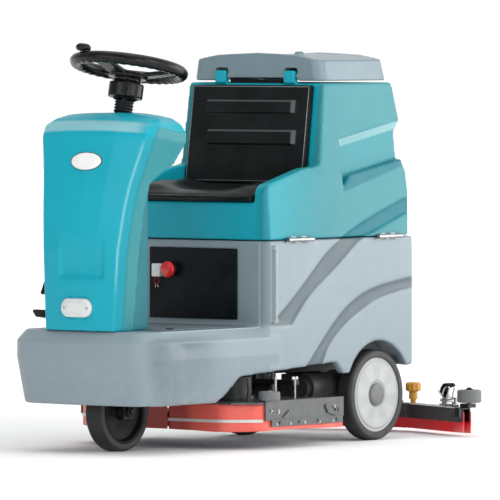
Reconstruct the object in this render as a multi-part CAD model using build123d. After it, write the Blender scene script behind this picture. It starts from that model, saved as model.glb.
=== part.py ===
from build123d import *
import math
import os

os.makedirs("parts", exist_ok=True)

# Ride-on floor scrubber. Millimetres, +Z up, the operator faces -Y, +X is the machine's left side.
# The origin is on the floor, under the middle of the machine's box.

# ---- driving dimensions --------------------------------------------------------------------------
BODY_HALF = 266          # half width of the lower body and the tank foot
BUMPER_HALF = 270        # half width of the bumper
NOSE_Y = -782            # foremost point of the bumper
CORNER_Y = -754          # bumper face at its corners
BUMPER_R = 100           # plan radius of the bumper's corners
BUMPER_LOW = 139.5       # lower edge of the bumper
BUMPER_BEND = 270        # the bumper leans inward below this height
BUMPER_TOP = 320         # the bevel to the platform starts here
PLATFORM_Z = 351         # footboard level
SEAT_FRONT_Y = -227      # front wall of the seat box
REAR_Y = 491             # rear of the body at the seam
REAR_LOW_Y = 515         # rear of the body below
SEAM_Z = 600             # joint between the lower body and the recovery tank
SEAM_GAP = 1             # half of the gap at the seam
PANEL_HALF = 219         # half width of the seat and the backrest
SEAT_Z = 709             # seat deck
TANK_TOP_Z = 1052
TANK_TOP_HALF = 247

FRONT_AXLE = (0, -582, 116)
FRONT_R, FRONT_W = 116, 60
REAR_AXLE_Y, REAR_R, REAR_W = 320, 134, 54
REAR_OUT_X = 260         # outer face of a rear tyre
REAR_RIM_R = 110
ARCH_R = 157.5

TILT = 12                # steering column leans back from the vertical, degrees
WHEEL_C = (0, -527.6, 1099.6)
RIM_R, RIM_TUBE_R = 153.5, 17.5
SHAFT_R = 11
LOW_SHAFT_Y = -652
CHAIN_Z = 306            # lower face of both sprockets

DECK_X = -30             # the brush deck is offset to the machine's right
DECK_HALF = 336
BRUSH_SPACING = 328
BRUSH_Y, BRUSH_R = -205, 160
SKIRT_LOW, SKIRT_TOP = 53, 132
SKIRT_T = 5
DECK_FRONT_Y, DECK_REAR_Y = -372, 88
DECK_LOWERS = 50

SQ_END = (365, 636)      # end of each squeegee wing, plan
SQ_SLOPE = 23            # plan angle of each wing, degrees
SQ_FLAT = 90             # the wings meet in an arc over this half width
SQ_LOW, SQ_BODY_LOW, SQ_TOP = 8, 43, 86

HINGE_X = BODY_HALF + 8.5
HINGE_R = 7.5
LID_AXIS = (72, 1072)    # Y and Z of the lid's hinge axis
LUG_X = 127


# ---- small helpers -------------------------------------------------------------------------------
def block(x, y, z):
    """Box between the given pairs of limits."""
    size = [limits[1] - limits[0] for limits in (x, y, z)]
    middle = [(limits[1] + limits[0]) / 2 for limits in (x, y, z)]
    return Pos(*middle) * Box(*size)


def rod_z(x, y, z0, z1, r):
    return Pos(x, y, (z0 + z1) / 2) * Cylinder(r, z1 - z0)


def rod_x(x0, x1, y, z, r):
    return Pos((x0 + x1) / 2, y, z) * Rot(0, 90, 0) * Cylinder(r, x1 - x0)


def rod_y(x, y0, y1, z, r):
    return Pos(x, (y0 + y1) / 2, z) * Rot(90, 0, 0) * Cylinder(r, y1 - y0)


def side_prism(points, x0, x1):
    """Outline in (y, z), extruded along X from x0 to x1."""
    face = make_face(Polyline(*[(x0, y, z) for y, z in points], close=True))
    return extrude(face, amount=x1 - x0, dir=(1, 0, 0))


def front_prism(points, y0, y1):
    """Outline in (x, z), extruded along Y from y0 to y1."""
    face = make_face(Polyline(*[(x, y0, z) for x, z in points], close=True))
    return extrude(face, amount=y1 - y0, dir=(0, 1, 0))


def plan_prism(points, z0, z1):
    """Outline in (x, y), extruded upward from z0 to z1."""
    face = make_face(Polyline(*[(x, y, z0) for x, y in points], close=True))
    return extrude(face, amount=z1 - z0, dir=(0, 0, 1))


def round_upright(solid, r, test):
    """Fillets the vertical edges whose middle passes the test."""
    edges = [e for e in solid.edges().filter_by(Axis.Z) if test(e.center())]
    return fillet(edges, r)


def twin(shape):
    """The shape and its mirror image across the machine's centre plane."""
    return [shape, mirror(shape, about=Plane.YZ)]


def save(name, *shapes):
    solids = []
    for shape in shapes:
        solids += list(shape.solids())
    whole = solids[0] if len(solids) == 1 else Compound(children=solids)
    export_step(whole, f"parts/{name}.step")


# Swoosh grooves that run up each side, in (y, z); each has an upper and a lower curve.
SWOOSH_A_UP = [(-216, 351), (-105, 426), (-11, 500), (76, 566), (219, 634), (414, 700), (540, 735)]
SWOOSH_A_LOW = [(540, 690), (434, 657), (305, 616), (225, 589), (108, 513), (-13, 438), (-104, 353)]
SWOOSH_B_UP = [(-60, 205), (24, 285), (108, 361), (196, 417), (311, 454), (540, 485)]
SWOOSH_B_LOW = [(540, 452), (346, 424), (250, 393), (152, 345), (74, 284), (30, 205)]
GROOVE = 5


def swoosh(upper, lower):
    """Cutter for one groove on both sides."""
    a = Spline(*[(BODY_HALF - 14, y, z) for y, z in upper])
    b = Spline(*[(BODY_HALF - 14, y, z) for y, z in lower])
    face = make_face([a, Line(a @ 1, b @ 0), b, Line(b @ 1, a @ 0)])
    return extrude(face, amount=60, dir=(1, 0, 0))


def groove_cutters(surface_x):
    """The two grooves, starting GROOVE below a side face at surface_x."""
    cutters = []
    for upper, lower in ((SWOOSH_A_UP, SWOOSH_A_LOW), (SWOOSH_B_UP, SWOOSH_B_LOW)):
        band = swoosh(upper, lower) & block((surface_x - GROOVE, 400), (-700, 700), (0, 1200))
        cutters += twin(band)
    return cutters


# ---- lower body: bumper, platform and solution tank in one moulding ------------------------------
def bumper_outline(z, shrink=0):
    """Plan of the platform at height z: a shallow front arc with rounded corners."""
    half = BUMPER_HALF - shrink
    corner = CORNER_Y + shrink
    back = SEAT_FRONT_Y + 60
    arc = ThreePointArc((half, corner, z), (0, NOSE_Y + shrink, z), (-half, corner, z))
    left = Line((-half, corner, z), (-half, back, z))
    rear = Line((-half, back, z), (half, back, z))
    right = Line((half, back, z), (half, corner, z))
    face = make_face([arc, left, rear, right])
    front = [v for v in face.vertices() if v.Y < corner + 1]
    return fillet(front, BUMPER_R - shrink)


def make_lower_body():
    lean = 22
    bevel = 26
    body = loft([bumper_outline(BUMPER_LOW, lean), bumper_outline(BUMPER_BEND)])
    body += loft([bumper_outline(BUMPER_BEND), bumper_outline(BUMPER_TOP)])
    body += loft([bumper_outline(BUMPER_TOP), bumper_outline(PLATFORM_Z, bevel)])
    # seat box: rounded plan, leaning rear
    plan = block((-BODY_HALF, BODY_HALF), (SEAT_FRONT_Y, REAR_LOW_Y), (200, SEAM_Z - SEAM_GAP))
    plan = round_upright(plan, 46, lambda c: c.Y > 0)
    plan = round_upright(plan, 24, lambda c: c.Y < 0)
    top = SEAM_Z - SEAM_GAP
    lean_back = [(SEAT_FRONT_Y, 200), (SEAT_FRONT_Y, top), (REAR_Y, top), (REAR_LOW_Y, 430),
                 (REAR_LOW_Y, 200)]
    body += plan & side_prism(lean_back, -BODY_HALF, BODY_HALF)
    # lower edge of the sides: rises behind the bumper, dips to a leg, then the wheel arch
    under = [(-435, 100), (-435, BUMPER_LOW), (-390, 167), (-345, 207), (-331, 212), (-50, 229), (113, 238),
             (148, 203), (430, 203), (430, 216), (600, 216), (600, 100)]
    body -= side_prism(under, -300, 300)
    for x0, x1 in ((196, 300), (-300, -196)):
        body -= rod_x(x0, x1, REAR_AXLE_Y, REAR_R + 1, ARCH_R)
    body -= block((-240, 240), (SEAT_FRONT_Y - 20, 470), (180, 250))
    body -= block((-225, 225), (-725, SEAT_FRONT_Y - 12), (100, 335))
    # battery bay, open under the recovery tank, and the panel window in its front wall
    body -= block((-190, 190), (SEAT_FRONT_Y + 14, 345), (262, 700))
    body -= block((-162, 162), (SEAT_FRONT_Y - 1, SEAT_FRONT_Y + 5), (368, 577))
    body -= block((-146, 146), (SEAT_FRONT_Y - 1, SEAT_FRONT_Y + 30), (384, 561))
    # steering shaft hole
    body -= rod_z(0, LOW_SHAFT_Y, 300, 400, 24)
    for cutter in groove_cutters(BODY_HALF):
        body -= cutter
    return body


save("lower_body", make_lower_body())

MAT_T = 4
mat = plan_prism([(-225, -640), (225, -640), (225, -245), (-225, -245)], PLATFORM_Z + 0.3, PLATFORM_Z + MAT_T)
mat = round_upright(mat, 30, lambda c: True)
mat -= block((-136, 136), (-700, -585), (300, 400))
mat -= block((-240, -136), (-700, -545), (300, 400))
save("footboard_mat", mat)


# ---- chassis frame -------------------------------------------------------------------------------
RAIL_IN, RAIL_OUT = 36, 66
RAIL_LOW, RAIL_TOP = 200, 245
HEAD_LOW, HEAD_TOP = 262, 300
HEAD_IN, HEAD_OUT = 22, 32
STEM_R = 15
DRAW_GAP = 0.05          # radial running clearance

GUIDE_Y = -45
GUIDE_R = 5
GUIDE_XS = (DECK_X - 180, DECK_X + 180)
LIFT_HINGE = (452, 132)  # Y and Z of the squeegee arm's hinge
HINGE_PIN_R = 6


def make_frame():
    frame = block((-RAIL_OUT, RAIL_OUT), (-452, -436), (RAIL_LOW, HEAD_LOW + 12))
    for rail in twin(block((RAIL_IN, RAIL_OUT), (-440, 440), (RAIL_LOW, RAIL_TOP))):
        frame += rail
    frame += block((-RAIL_OUT, RAIL_OUT), (-690, -440), (HEAD_LOW, HEAD_LOW + 12))
    frame += rod_z(0, FRONT_AXLE[1], HEAD_LOW, HEAD_TOP, HEAD_OUT)
    frame -= rod_z(0, FRONT_AXLE[1], 200, 400, HEAD_IN)
    frame -= rod_z(0, LOW_SHAFT_Y, 200, 400, 9 + DRAW_GAP)
    # crossbar with the guide eyes of the deck
    frame += block((-236, 236), (GUIDE_Y - 14, GUIDE_Y + 14), (176, 190))
    for riser in twin(block((RAIL_IN, RAIL_OUT), (GUIDE_Y - 14, GUIDE_Y + 14), (188, RAIL_LOW + 2))):
        frame += riser
    for x in GUIDE_XS:
        frame -= rod_z(x, GUIDE_Y, 100, 300, GUIDE_R + DRAW_GAP)
    # crossbar over the axle and the plate at the rear end
    frame += block((-RAIL_OUT, RAIL_OUT), (REAR_AXLE_Y - 20, REAR_AXLE_Y + 20), (RAIL_LOW - 12, RAIL_LOW + 4))
    frame += block((-RAIL_OUT, RAIL_OUT), (430, 440), (110, RAIL_TOP))
    for ear in twin(block((30, 38), (430, 470), (112, 152))):
        frame += ear
    frame += block((-27, 27), (438, 445), (60, 114))
    frame -= rod_x(-100, 100, *LIFT_HINGE, HINGE_PIN_R)
    # bridge between the rails that carries the lift actuator
    frame += block((-RAIL_IN, RAIL_IN), (-150, -90), (236, RAIL_TOP))
    return frame


bearings = []
for z in (HEAD_LOW, HEAD_TOP - 11):
    ring = rod_z(0, FRONT_AXLE[1], z, z + 11, HEAD_IN)
    ring -= rod_z(0, FRONT_AXLE[1], z - 1, z + 12, STEM_R + DRAW_GAP)
    bearings.append(ring)


# ---- front fork and wheel ------------------------------------------------------------------------
def make_fork():
    x, y, z = FRONT_AXLE
    fork = block((-44, 44), (y - 28, y + 28), (242, 256))
    for leg in twin(block((35, 44), (y - 25, y + 25), (z - 22, 250))):
        fork += leg
    fork += rod_z(x, y, 250, 330, STEM_R)
    fork += rod_x(-52, 52, y, z, 10)
    return fork


def sprocket(x, y, r, teeth, bore):
    """Roller-chain sprocket lying at CHAIN_Z, r is its root radius."""
    wheel = rod_z(x, y, CHAIN_Z, CHAIN_Z + 6, r)
    for i in range(teeth):
        tooth = Pos(r + 0.5, 0, CHAIN_Z + 3) * Box(4, 3, 4)
        wheel += Pos(x, y, 0) * Rot(0, 0, i * 360 / teeth) * tooth
    return wheel - rod_z(x, y, CHAIN_Z - 9, CHAIN_Z + 9, bore)


save("steering_fork", make_fork(), sprocket(0, FRONT_AXLE[1], 35, 30, STEM_R))

fx, fy, fz = FRONT_AXLE
tyre = rod_x(-FRONT_W / 2, FRONT_W / 2, fy, fz, FRONT_R)
tyre = fillet([e for e in tyre.edges() if e.geom_type == GeomType.CIRCLE], 7)
tyre -= rod_x(-100, 100, fy, fz, 94)
save("front_tyre", tyre)
rim = rod_x(-26, 26, fy, fz, 94)
for dish in twin(rod_x(6, 60, fy, fz, 86)):
    rim -= dish
rim += rod_x(-32, 32, fy, fz, 24)
rim -= rod_x(-100, 100, fy, fz, 10 + DRAW_GAP)
save("front_rim", rim)

# ---- rear wheels and transaxle -------------------------------------------------------------------
REAR_Z = REAR_R
for name, side in (("left", 1), ("right", -1)):
    inner, outer = REAR_OUT_X - REAR_W, REAR_OUT_X
    tyre = rod_x(inner, outer, REAR_AXLE_Y, REAR_Z, REAR_R)
    tyre = fillet([e for e in tyre.edges() if e.geom_type == GeomType.CIRCLE], 6)
    tyre -= rod_x(100, 400, REAR_AXLE_Y, REAR_Z, REAR_RIM_R)
    disc = rod_x(inner + 4, outer - 1, REAR_AXLE_Y, REAR_Z, REAR_RIM_R)
    disc -= rod_x(100, outer - 14, REAR_AXLE_Y, REAR_Z, REAR_RIM_R - 8)
    disc += rod_x(inner, outer - 10, REAR_AXLE_Y, REAR_Z, 30)
    disc += rod_x(outer - 2, outer + 4, REAR_AXLE_Y, REAR_Z, 40)
    disc += rod_x(70, inner + 4, REAR_AXLE_Y, REAR_Z, 12.5)
    pair = [tyre, disc] if side > 0 else [mirror(s, about=Plane.YZ) for s in (tyre, disc)]
    save(f"rear_tyre_{name}", pair[0])
    save(f"rear_wheel_disc_{name}", pair[1])

axle = block((-58, 58), (REAR_AXLE_Y - 50, REAR_AXLE_Y + 50), (REAR_Z - 48, RAIL_LOW - 12))
axle += rod_x(-192, 192, REAR_AXLE_Y, REAR_Z, 26)
axle += block((58, 190), (REAR_AXLE_Y - 60, REAR_AXLE_Y - 10), (REAR_Z - 20, REAR_Z + 40))
for bore in twin(rod_x(64, 300, REAR_AXLE_Y, REAR_Z, 12.5 + DRAW_GAP)):
    axle -= bore
save("transaxle_housing", axle)
MOTOR_X, MOTOR_Z, MOTOR_R = 146, 158, 44
motor = rod_y(MOTOR_X, 104, REAR_AXLE_Y - 60, MOTOR_Z, MOTOR_R)
motor += rod_y(MOTOR_X, 92, 106, MOTOR_Z, 30)
save("drive_motor", motor)


# ---- steering column -----------------------------------------------------------------------------
COLUMN = Pos(*WHEEL_C) * Rot(-TILT, 0, 0)   # local +Z runs up the column's axis
JOINT_DROP = (WHEEL_C[1] - LOW_SHAFT_Y) / math.sin(math.radians(TILT))
JOINT_Z = WHEEL_C[2] - JOINT_DROP * math.cos(math.radians(TILT))
BALL_R = 14
LOW_SHAFT_R = 9


def make_rim():
    ring = Torus(RIM_R, RIM_TUBE_R)
    return COLUMN * ring


def make_spokes():
    hub = Pos(0, 0, -34) * Cylinder(38, 24)
    hub += Pos(0, 0, -24) * Cylinder(56, 16)
    for angle in (30, 150, 270):
        arm = Pos(84, 0, -12) * Rot(0, -12, 0) * Box(112, 54, 12)
        hub += Rot(0, 0, angle) * arm
    hub -= Torus(RIM_R, RIM_TUBE_R)
    hub -= Pos(0, 0, -44) * Cylinder(SHAFT_R, 60)
    return COLUMN * hub


def make_shroud():
    shroud = Pos(0, 0, -68) * Cylinder(50, 43) + Pos(0, 0, -92) * Cylinder(34, 8)
    shroud -= Pos(0, 0, -76) * Cylinder(31, 44)
    shroud -= Pos(0, 0, -60) * Cylinder(SHAFT_R, 80)
    return COLUMN * shroud


def make_upper_shaft():
    shaft = Pos(0, 0, -14 - (JOINT_DROP - 34) / 2) * Cylinder(SHAFT_R, JOINT_DROP - 34)
    cup = Pos(0, 0, -JOINT_DROP) * (Sphere(BALL_R + 8) - Sphere(BALL_R + DRAW_GAP))
    cup -= Pos(0, 0, -JOINT_DROP - 18) * Box(80, 80, 30)
    return COLUMN * (shaft + cup)


save("steering_wheel_spokes", make_spokes(), make_shroud())
save("upper_steering_shaft", make_upper_shaft())

KNOB_AT = (-58, 145)     # on the rim, in the wheel's own plane
knob = Pos(KNOB_AT[0], -KNOB_AT[1], 29) * Cylinder(22, 20)
knob = fillet([e for e in knob.edges() if e.geom_type == GeomType.CIRCLE], 9)
knob -= Pos(KNOB_AT[0], -KNOB_AT[1], 21) * Cylinder(4 + DRAW_GAP, 16)
save("spinner_knob", COLUMN * knob)
stud = Pos(KNOB_AT[0], -KNOB_AT[1], 15) * Cylinder(4, 20)
stud += Pos(KNOB_AT[0], -KNOB_AT[1], 14) * Cylinder(8, 8)
save("steering_wheel_rim", make_rim() + COLUMN * stud)

low = rod_z(0, LOW_SHAFT_Y, 250, JOINT_Z, LOW_SHAFT_R) + Pos(0, LOW_SHAFT_Y, JOINT_Z) * Sphere(BALL_R)
save("lower_steering_shaft", low, sprocket(0, LOW_SHAFT_Y, 14, 12, LOW_SHAFT_R))


def chain_loop(clear):
    """Outline of the chain around both sprockets, clear of their roots by the given distance."""
    small, large = 14 + clear, 35 + clear
    gap = FRONT_AXLE[1] - LOW_SHAFT_Y
    lean = math.asin((large - small) / gap)
    cos_l, sin_l = math.cos(lean), math.sin(lean)
    small_x, small_y = small * cos_l, LOW_SHAFT_Y - small * sin_l
    large_x, large_y = large * cos_l, FRONT_AXLE[1] - large * sin_l
    z = CHAIN_Z
    arc_a = ThreePointArc((small_x, small_y, z), (0, LOW_SHAFT_Y - small, z), (-small_x, small_y, z))
    arc_b = ThreePointArc((-large_x, large_y, z), (0, FRONT_AXLE[1] + large, z), (large_x, large_y, z))
    side_a = Line((-small_x, small_y, z), (-large_x, large_y, z))
    side_b = Line((large_x, large_y, z), (small_x, small_y, z))
    return extrude(make_face([arc_a, side_a, arc_b, side_b]), amount=6, dir=(0, 0, 1))


save("steering_chain", chain_loop(8) - chain_loop(3))

jacket = Pos(0, 0, -330) * (Cylinder(19, 400) - Cylinder(16, 410))
jacket += Pos(0, 0, -136) * (Cylinder(19, 12) - Cylinder(SHAFT_R + DRAW_GAP, 14))
jacket += Pos(0, 0, -524) * (Cylinder(19, 12) - Cylinder(SHAFT_R + DRAW_GAP, 14))
for brace in twin(Pos(52, 0, -240) * Box(70, 26, 6)):
    jacket += brace
save("column_jacket", COLUMN * jacket)


# ---- column covers -------------------------------------------------------------------------------
# Each level: height, crease half width, crease y, nose y, rear y
COLUMN_LEVELS = [
    (PLATFORM_Z + 0.3, 121, -757, -768, -682),
    (583, 134, -752, -766, -671),
    (697, 146, -738, -753, -664),
    (770, 156, -724, -740, -650),
    (827, 168, -709, -726, -556),
    (903, 186, -690, -708, -522),
    (934, 186, -676, -693, -520),
    (953, 168, -650, -664, -521),
    (964, 140, -626, -636, -526),
]
SIDE_STEP = (20, 24)     # bevel between the face and the side


BELLOWS_LOW, BELLOWS_TOP = -134, -97.5
boot = Pos(0, 0, (BELLOWS_LOW + BELLOWS_TOP) / 2) * Cylinder(25, BELLOWS_TOP - BELLOWS_LOW)
for i in range(4):
    boot += Pos(0, 0, BELLOWS_LOW + 5 + i * 9) * Torus(25, 2.5)
boot -= Pos(0, 0, -116) * Cylinder(20, 60)
boot = COLUMN * boot - block((-60, 60), (-640, -480), (900, COLUMN_LEVELS[-1][0] + 0.3))
save("steering_bellows", boot)


def column_section(level, inset):
    z, half, crease, nose, rear = level
    half, crease, nose, rear = half - inset, crease + inset, nose + inset, rear - inset
    mid = (nose * 3 + crease) / 4
    side = half + SIDE_STEP[0]
    right = [(0, nose), (half / 2, mid), (half, crease), (side, crease + SIDE_STEP[1]), (side, rear)]
    left = [(-x, y) for x, y in reversed(right[1:])]
    return make_face(Polyline(*[(x, y, z) for x, y in right + left], close=True))


def column_solid(levels, inset):
    solid = None
    for low_level, high_level in zip(levels, levels[1:]):
        piece = loft([column_section(low_level, inset), column_section(high_level, inset)], ruled=True)
        solid = piece if solid is None else solid + piece
    return solid


def make_front_cover():
    wall = 7
    shell = column_solid(COLUMN_LEVELS, 0)
    hollow = column_solid([(PLATFORM_Z - 20, *COLUMN_LEVELS[0][1:])] + COLUMN_LEVELS[:-2], wall)
    shell -= hollow
    shell -= block((-112, 112), (-690, -640), (300, 640))
    shell -= block((-100, 100), (-690, -640), (300, 800))
    shell -= COLUMN * Pos(0, 0, -200) * Cylinder(24, 240)
    return shell


save("column_front_cover", make_front_cover())

REAR_COVER_FRONT = -681
rear_plan = [(-139, REAR_COVER_FRONT), (139, REAR_COVER_FRONT), (123, -592), (-123, -592)]
cover = plan_prism(rear_plan, PLATFORM_Z + 0.3, 800)
cover -= plan_prism([(-131, -700), (131, -700), (115, -600), (-115, -600)], 300, 770)
cover -= COLUMN * Pos(0, 0, -300) * Cylinder(24, 300)
rear_gap = column_solid(COLUMN_LEVELS, -0.3)
cover = cover & block((-150, 150), (REAR_COVER_FRONT, -500), (300, 768))
cover -= rear_gap
save("column_rear_cover", cover)

DASH_Y = -519
dash = block((-140, 140), (DASH_Y, DASH_Y + 5), (856, 940))
dash = fillet(dash.edges().filter_by(Axis.Y), 12)
dash += block((-60, 10), (DASH_Y + 5, DASH_Y + 7), (872, 924))
for i in range(3):
    dash += rod_y(48 + i * 28, DASH_Y + 4, DASH_Y + 12, 898, 9)
save("dashboard_panel", dash)


# ---- lamp, badge ---------------------------------------------------------------------------------
def oval(width, height, y0, y1, z):
    """Stadium-shaped plate facing the front."""
    r = height / 2
    reach = width / 2 - r
    plate = block((-reach, reach), (y0, y1), (z - r, z + r))
    for x in (-reach, reach):
        plate += rod_y(x, y0, y1, z, r)
    return plate


lamp_face = -776.5
housing = oval(110, 54, lamp_face, -760, 417) - block((-27, 27), (-800, -766), (401, 433))
front_shell = column_solid(COLUMN_LEVELS, -0.3)
housing -= front_shell
lens = block((-26.8, 26.8), (lamp_face - 1, -766.2), (401.2, 432.8)) - front_shell
save("headlamp", housing, lens)
badge = oval(113, 51, -732, -700, 834) - front_shell
badge = badge & block((-100, 100), (-729, -700), (700, 900))
save("badge_plate", badge)

# ---- electrical panel, emergency stop, key block and its lanyard ---------------------------------
panel = block((-160, 160), (SEAT_FRONT_Y - 2, SEAT_FRONT_Y + 5), (370, 575))
STOP_X, STOP_Z = -76, 511
panel_bore = rod_y(STOP_X, -260, -200, STOP_Z, 8 + DRAW_GAP)
panel -= panel_bore
PANEL_FACE = SEAT_FRONT_Y - 2
collar = rod_y(STOP_X, PANEL_FACE - 10, PANEL_FACE, STOP_Z, 15) - panel_bore
save("electrical_panel", panel, collar)
button = rod_y(STOP_X, PANEL_FACE - 32, PANEL_FACE - 18, STOP_Z, 24)
button = fillet([e for e in button.edges() if e.geom_type == GeomType.CIRCLE], 5)
button += rod_y(STOP_X, PANEL_FACE - 20, PANEL_FACE + 22, STOP_Z, 8)
save("emergency_stop_button", button)
KEY_X = -128
key_block = block((KEY_X - 16, KEY_X + 16), (PANEL_FACE - 12, PANEL_FACE), (489, 527))
key_block = fillet(key_block.edges().filter_by(Axis.Y), 4)
save("key_block", key_block)

LANYARD_R = 0.75
CORD_Y = PANEL_FACE - 7.5
# limp cord: a narrow loop that hangs from the key block's lower face
LANYARD = [(KEY_X + 6, CORD_Y, 489), (KEY_X + 6, CORD_Y, 482.5), (KEY_X + 7.8, CORD_Y, 476),
           (KEY_X + 6.5, CORD_Y, 469), (KEY_X, CORD_Y, 463.5), (KEY_X - 6.5, CORD_Y, 469),
           (KEY_X - 7.8, CORD_Y, 476), (KEY_X - 6, CORD_Y, 482.5), (KEY_X - 6, CORD_Y, 489)]


def cord_path(points):
    """Straight runs joined by the largest tangent arcs that the runs allow."""
    radii = []
    for a, b, c in zip(points, points[1:], points[2:]):
        first, second = Vector(*b) - Vector(*a), Vector(*c) - Vector(*b)
        turn = math.radians(first.get_angle(second))
        radii.append(0.45 * min(first.length, second.length) / math.tan(turn / 2))
    print("cord radii", [round(r, 1) for r in radii])
    return FilletPolyline(*points, radius=radii)


route = cord_path(LANYARD)
start = Plane(origin=route @ 0, z_dir=route % 0)
cord = sweep(start * Circle(LANYARD_R), path=route)
print("cord length", round(route.length, 1), "volume ratio",
      round(cord.volume / (math.pi * LANYARD_R**2 * route.length), 4))
save("key_lanyard", cord)
save("key_ring", Pos(KEY_X, CORD_Y, 460.9) * Rot(0, 90, 0) * Torus(6, 0.9))

# ---- sight tube ----------------------------------------------------------------------------------
TUBE_Y, TUBE_X = -189, BODY_HALF + 7
tube = rod_z(TUBE_X, TUBE_Y, 376, 571, 4) - rod_z(TUBE_X, TUBE_Y, 370, 580, 3)
elbows = []
for z0, z1 in ((362, 376), (571, 585)):
    elbow = rod_z(TUBE_X, TUBE_Y, z0, z1, 6.5)
    elbow += rod_x(BODY_HALF, TUBE_X, TUBE_Y, (z0 + z1) / 2, 6)
    elbows.append(elbow)
save("sight_tube", tube, *elbows)

# ---- batteries and controller --------------------------------------------------------------------
cells = []
for x0 in (-174, 4):
    cell = block((x0, x0 + 170), (-140, 335), (263, 490))
    cell += block((x0 + 20, x0 + 40), (-110, -90), (490, 506))
    cell += block((x0 + 130, x0 + 150), (-110, -90), (490, 506))
    cells.append(cell)
save("batteries", *cells)
controller = block((-80, 80), (-206, -170), (290, 460))
for i in range(7):
    controller += block((-78 + i * 24, -70 + i * 24), (-170, -156), (292, 458))
save("motor_controller", controller)

# ---- pedals --------------------------------------------------------------------------------------
PEDAL_X = -196
ACCEL_HINGE = (-560, 364)
BRAKE_X = -182
BRAKE_HINGE = (-632, 540)


def make_accelerator():
    y, z = ACCEL_HINGE
    tread = [(y - 3, z + 4), (y - 112, z + 19), (y - 126, z + 34), (y - 125, z + 40), (y - 118, z + 41),
             (y - 2, z + 12)]
    plate = side_prism(tread, PEDAL_X - 32, PEDAL_X + 32)
    plate += rod_x(PEDAL_X - 32, PEDAL_X + 32, y, z + 2, 6)
    return plate - rod_x(-400, 0, y, z + 2, 3 + DRAW_GAP)


def make_pedal_bracket():
    y, z = ACCEL_HINGE
    bracket = rod_x(PEDAL_X - 40, PEDAL_X + 40, y, z + 2, 3)
    for x0 in (PEDAL_X - 40, PEDAL_X + 34):
        bracket += block((x0, x0 + 6), (y - 10, y + 10), (PLATFORM_Z + 0.3, z + 8))
    bracket += rod_x(BRAKE_X - 12, -136, *BRAKE_HINGE, 5)
    bracket += block((-141, -136.5), (-656, -590), (505, 560))
    return bracket


def make_brake():
    y, z = BRAKE_HINGE
    arm = side_prism([(y + 7, z), (y - 6, z - 50), (-650, 466), (-656, 470), (y - 15, z - 40), (y - 7, z)],
                     BRAKE_X - 5, BRAKE_X + 5)
    pad = [(-668, 452), (-650, 486), (-645, 482), (-662, 447)]
    arm += side_prism(pad, BRAKE_X - 32, BRAKE_X + 32)
    arm += rod_x(BRAKE_X - 10, BRAKE_X + 10, y, z, 10)
    return arm - rod_x(-400, 0, y, z, 5 + DRAW_GAP)


save("accelerator_pedal", make_accelerator())
save("chassis_frame", make_frame(), *bearings, make_pedal_bracket())
save("brake_pedal", make_brake())


# ---- brush deck ----------------------------------------------------------------------------------
def deck_side(x):
    """Mirror of x across the deck's own centre line."""
    return 2 * DECK_X - x


def deck_plan(grow):
    """Plan of the deck's left half, grown outward; the front corner is broken by two bends."""
    edge = DECK_X + DECK_HALF
    z = SKIRT_LOW
    outline = [(DECK_X, DECK_FRONT_Y), (edge - 90, DECK_FRONT_Y + 6), (edge, DECK_FRONT_Y + 80),
               (edge, DECK_REAR_Y + 60), (DECK_X, DECK_REAR_Y + 60)]
    face = make_face(Polyline(*[(x, y, z) for x, y in outline], close=True))
    bends = [v for v in face.vertices() if v.X > DECK_X + 1 and v.Y < DECK_FRONT_Y + 90]
    face = fillet(bends, 70)
    return offset(face, amount=grow) if grow else face


def skirt_wall(inner, outer, z0, z1):
    """L-shaped upright wall between two growths of the deck's plan."""
    ring = deck_plan(outer) - deck_plan(inner)
    wall = Pos(0, 0, z0 - SKIRT_LOW) * extrude(ring, amount=z1 - z0, dir=(0, 0, 1))
    return wall & block((20, 500), (-500, DECK_REAR_Y), (0, 300))


def about_deck(shape):
    """The shape and its mirror image across the deck's centre line."""
    return [shape, mirror(shape, about=Plane.YZ.offset(DECK_X))]


STRIP_PROUD = 2.5
strip = skirt_wall(0, STRIP_PROUD, 79, 88) - block((200, 400), (-288, 200), (0, 300))
save("deck_skirts", *about_deck(skirt_wall(-SKIRT_T, 0, SKIRT_LOW, SKIRT_TOP)), *about_deck(strip))

PLATE_LOW, PLATE_TOP = SKIRT_TOP, SKIRT_TOP + 5
BRUSH_XS = {"left": DECK_X + BRUSH_SPACING / 2, "right": DECK_X - BRUSH_SPACING / 2}
LIFT_RAM_Y = -120


def make_deck_plate():
    edge = DECK_HALF
    outline = [(DECK_X - edge + 60, DECK_FRONT_Y + 6), (DECK_X + edge - 60, DECK_FRONT_Y + 6),
               (DECK_X + edge, DECK_FRONT_Y + 60), (DECK_X + edge, DECK_REAR_Y - 40),
               (DECK_X + 120, DECK_REAR_Y - 70), (DECK_X - 120, DECK_REAR_Y - 70),
               (DECK_X - edge, DECK_REAR_Y - 40), (DECK_X - edge, DECK_FRONT_Y + 60)]
    plate = plan_prism(outline, PLATE_LOW, PLATE_TOP)
    for x in BRUSH_XS.values():
        plate -= rod_z(x, BRUSH_Y, 0, 300, 20)
    return plate


BRACKET_X = DECK_X + DECK_HALF + 1


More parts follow.
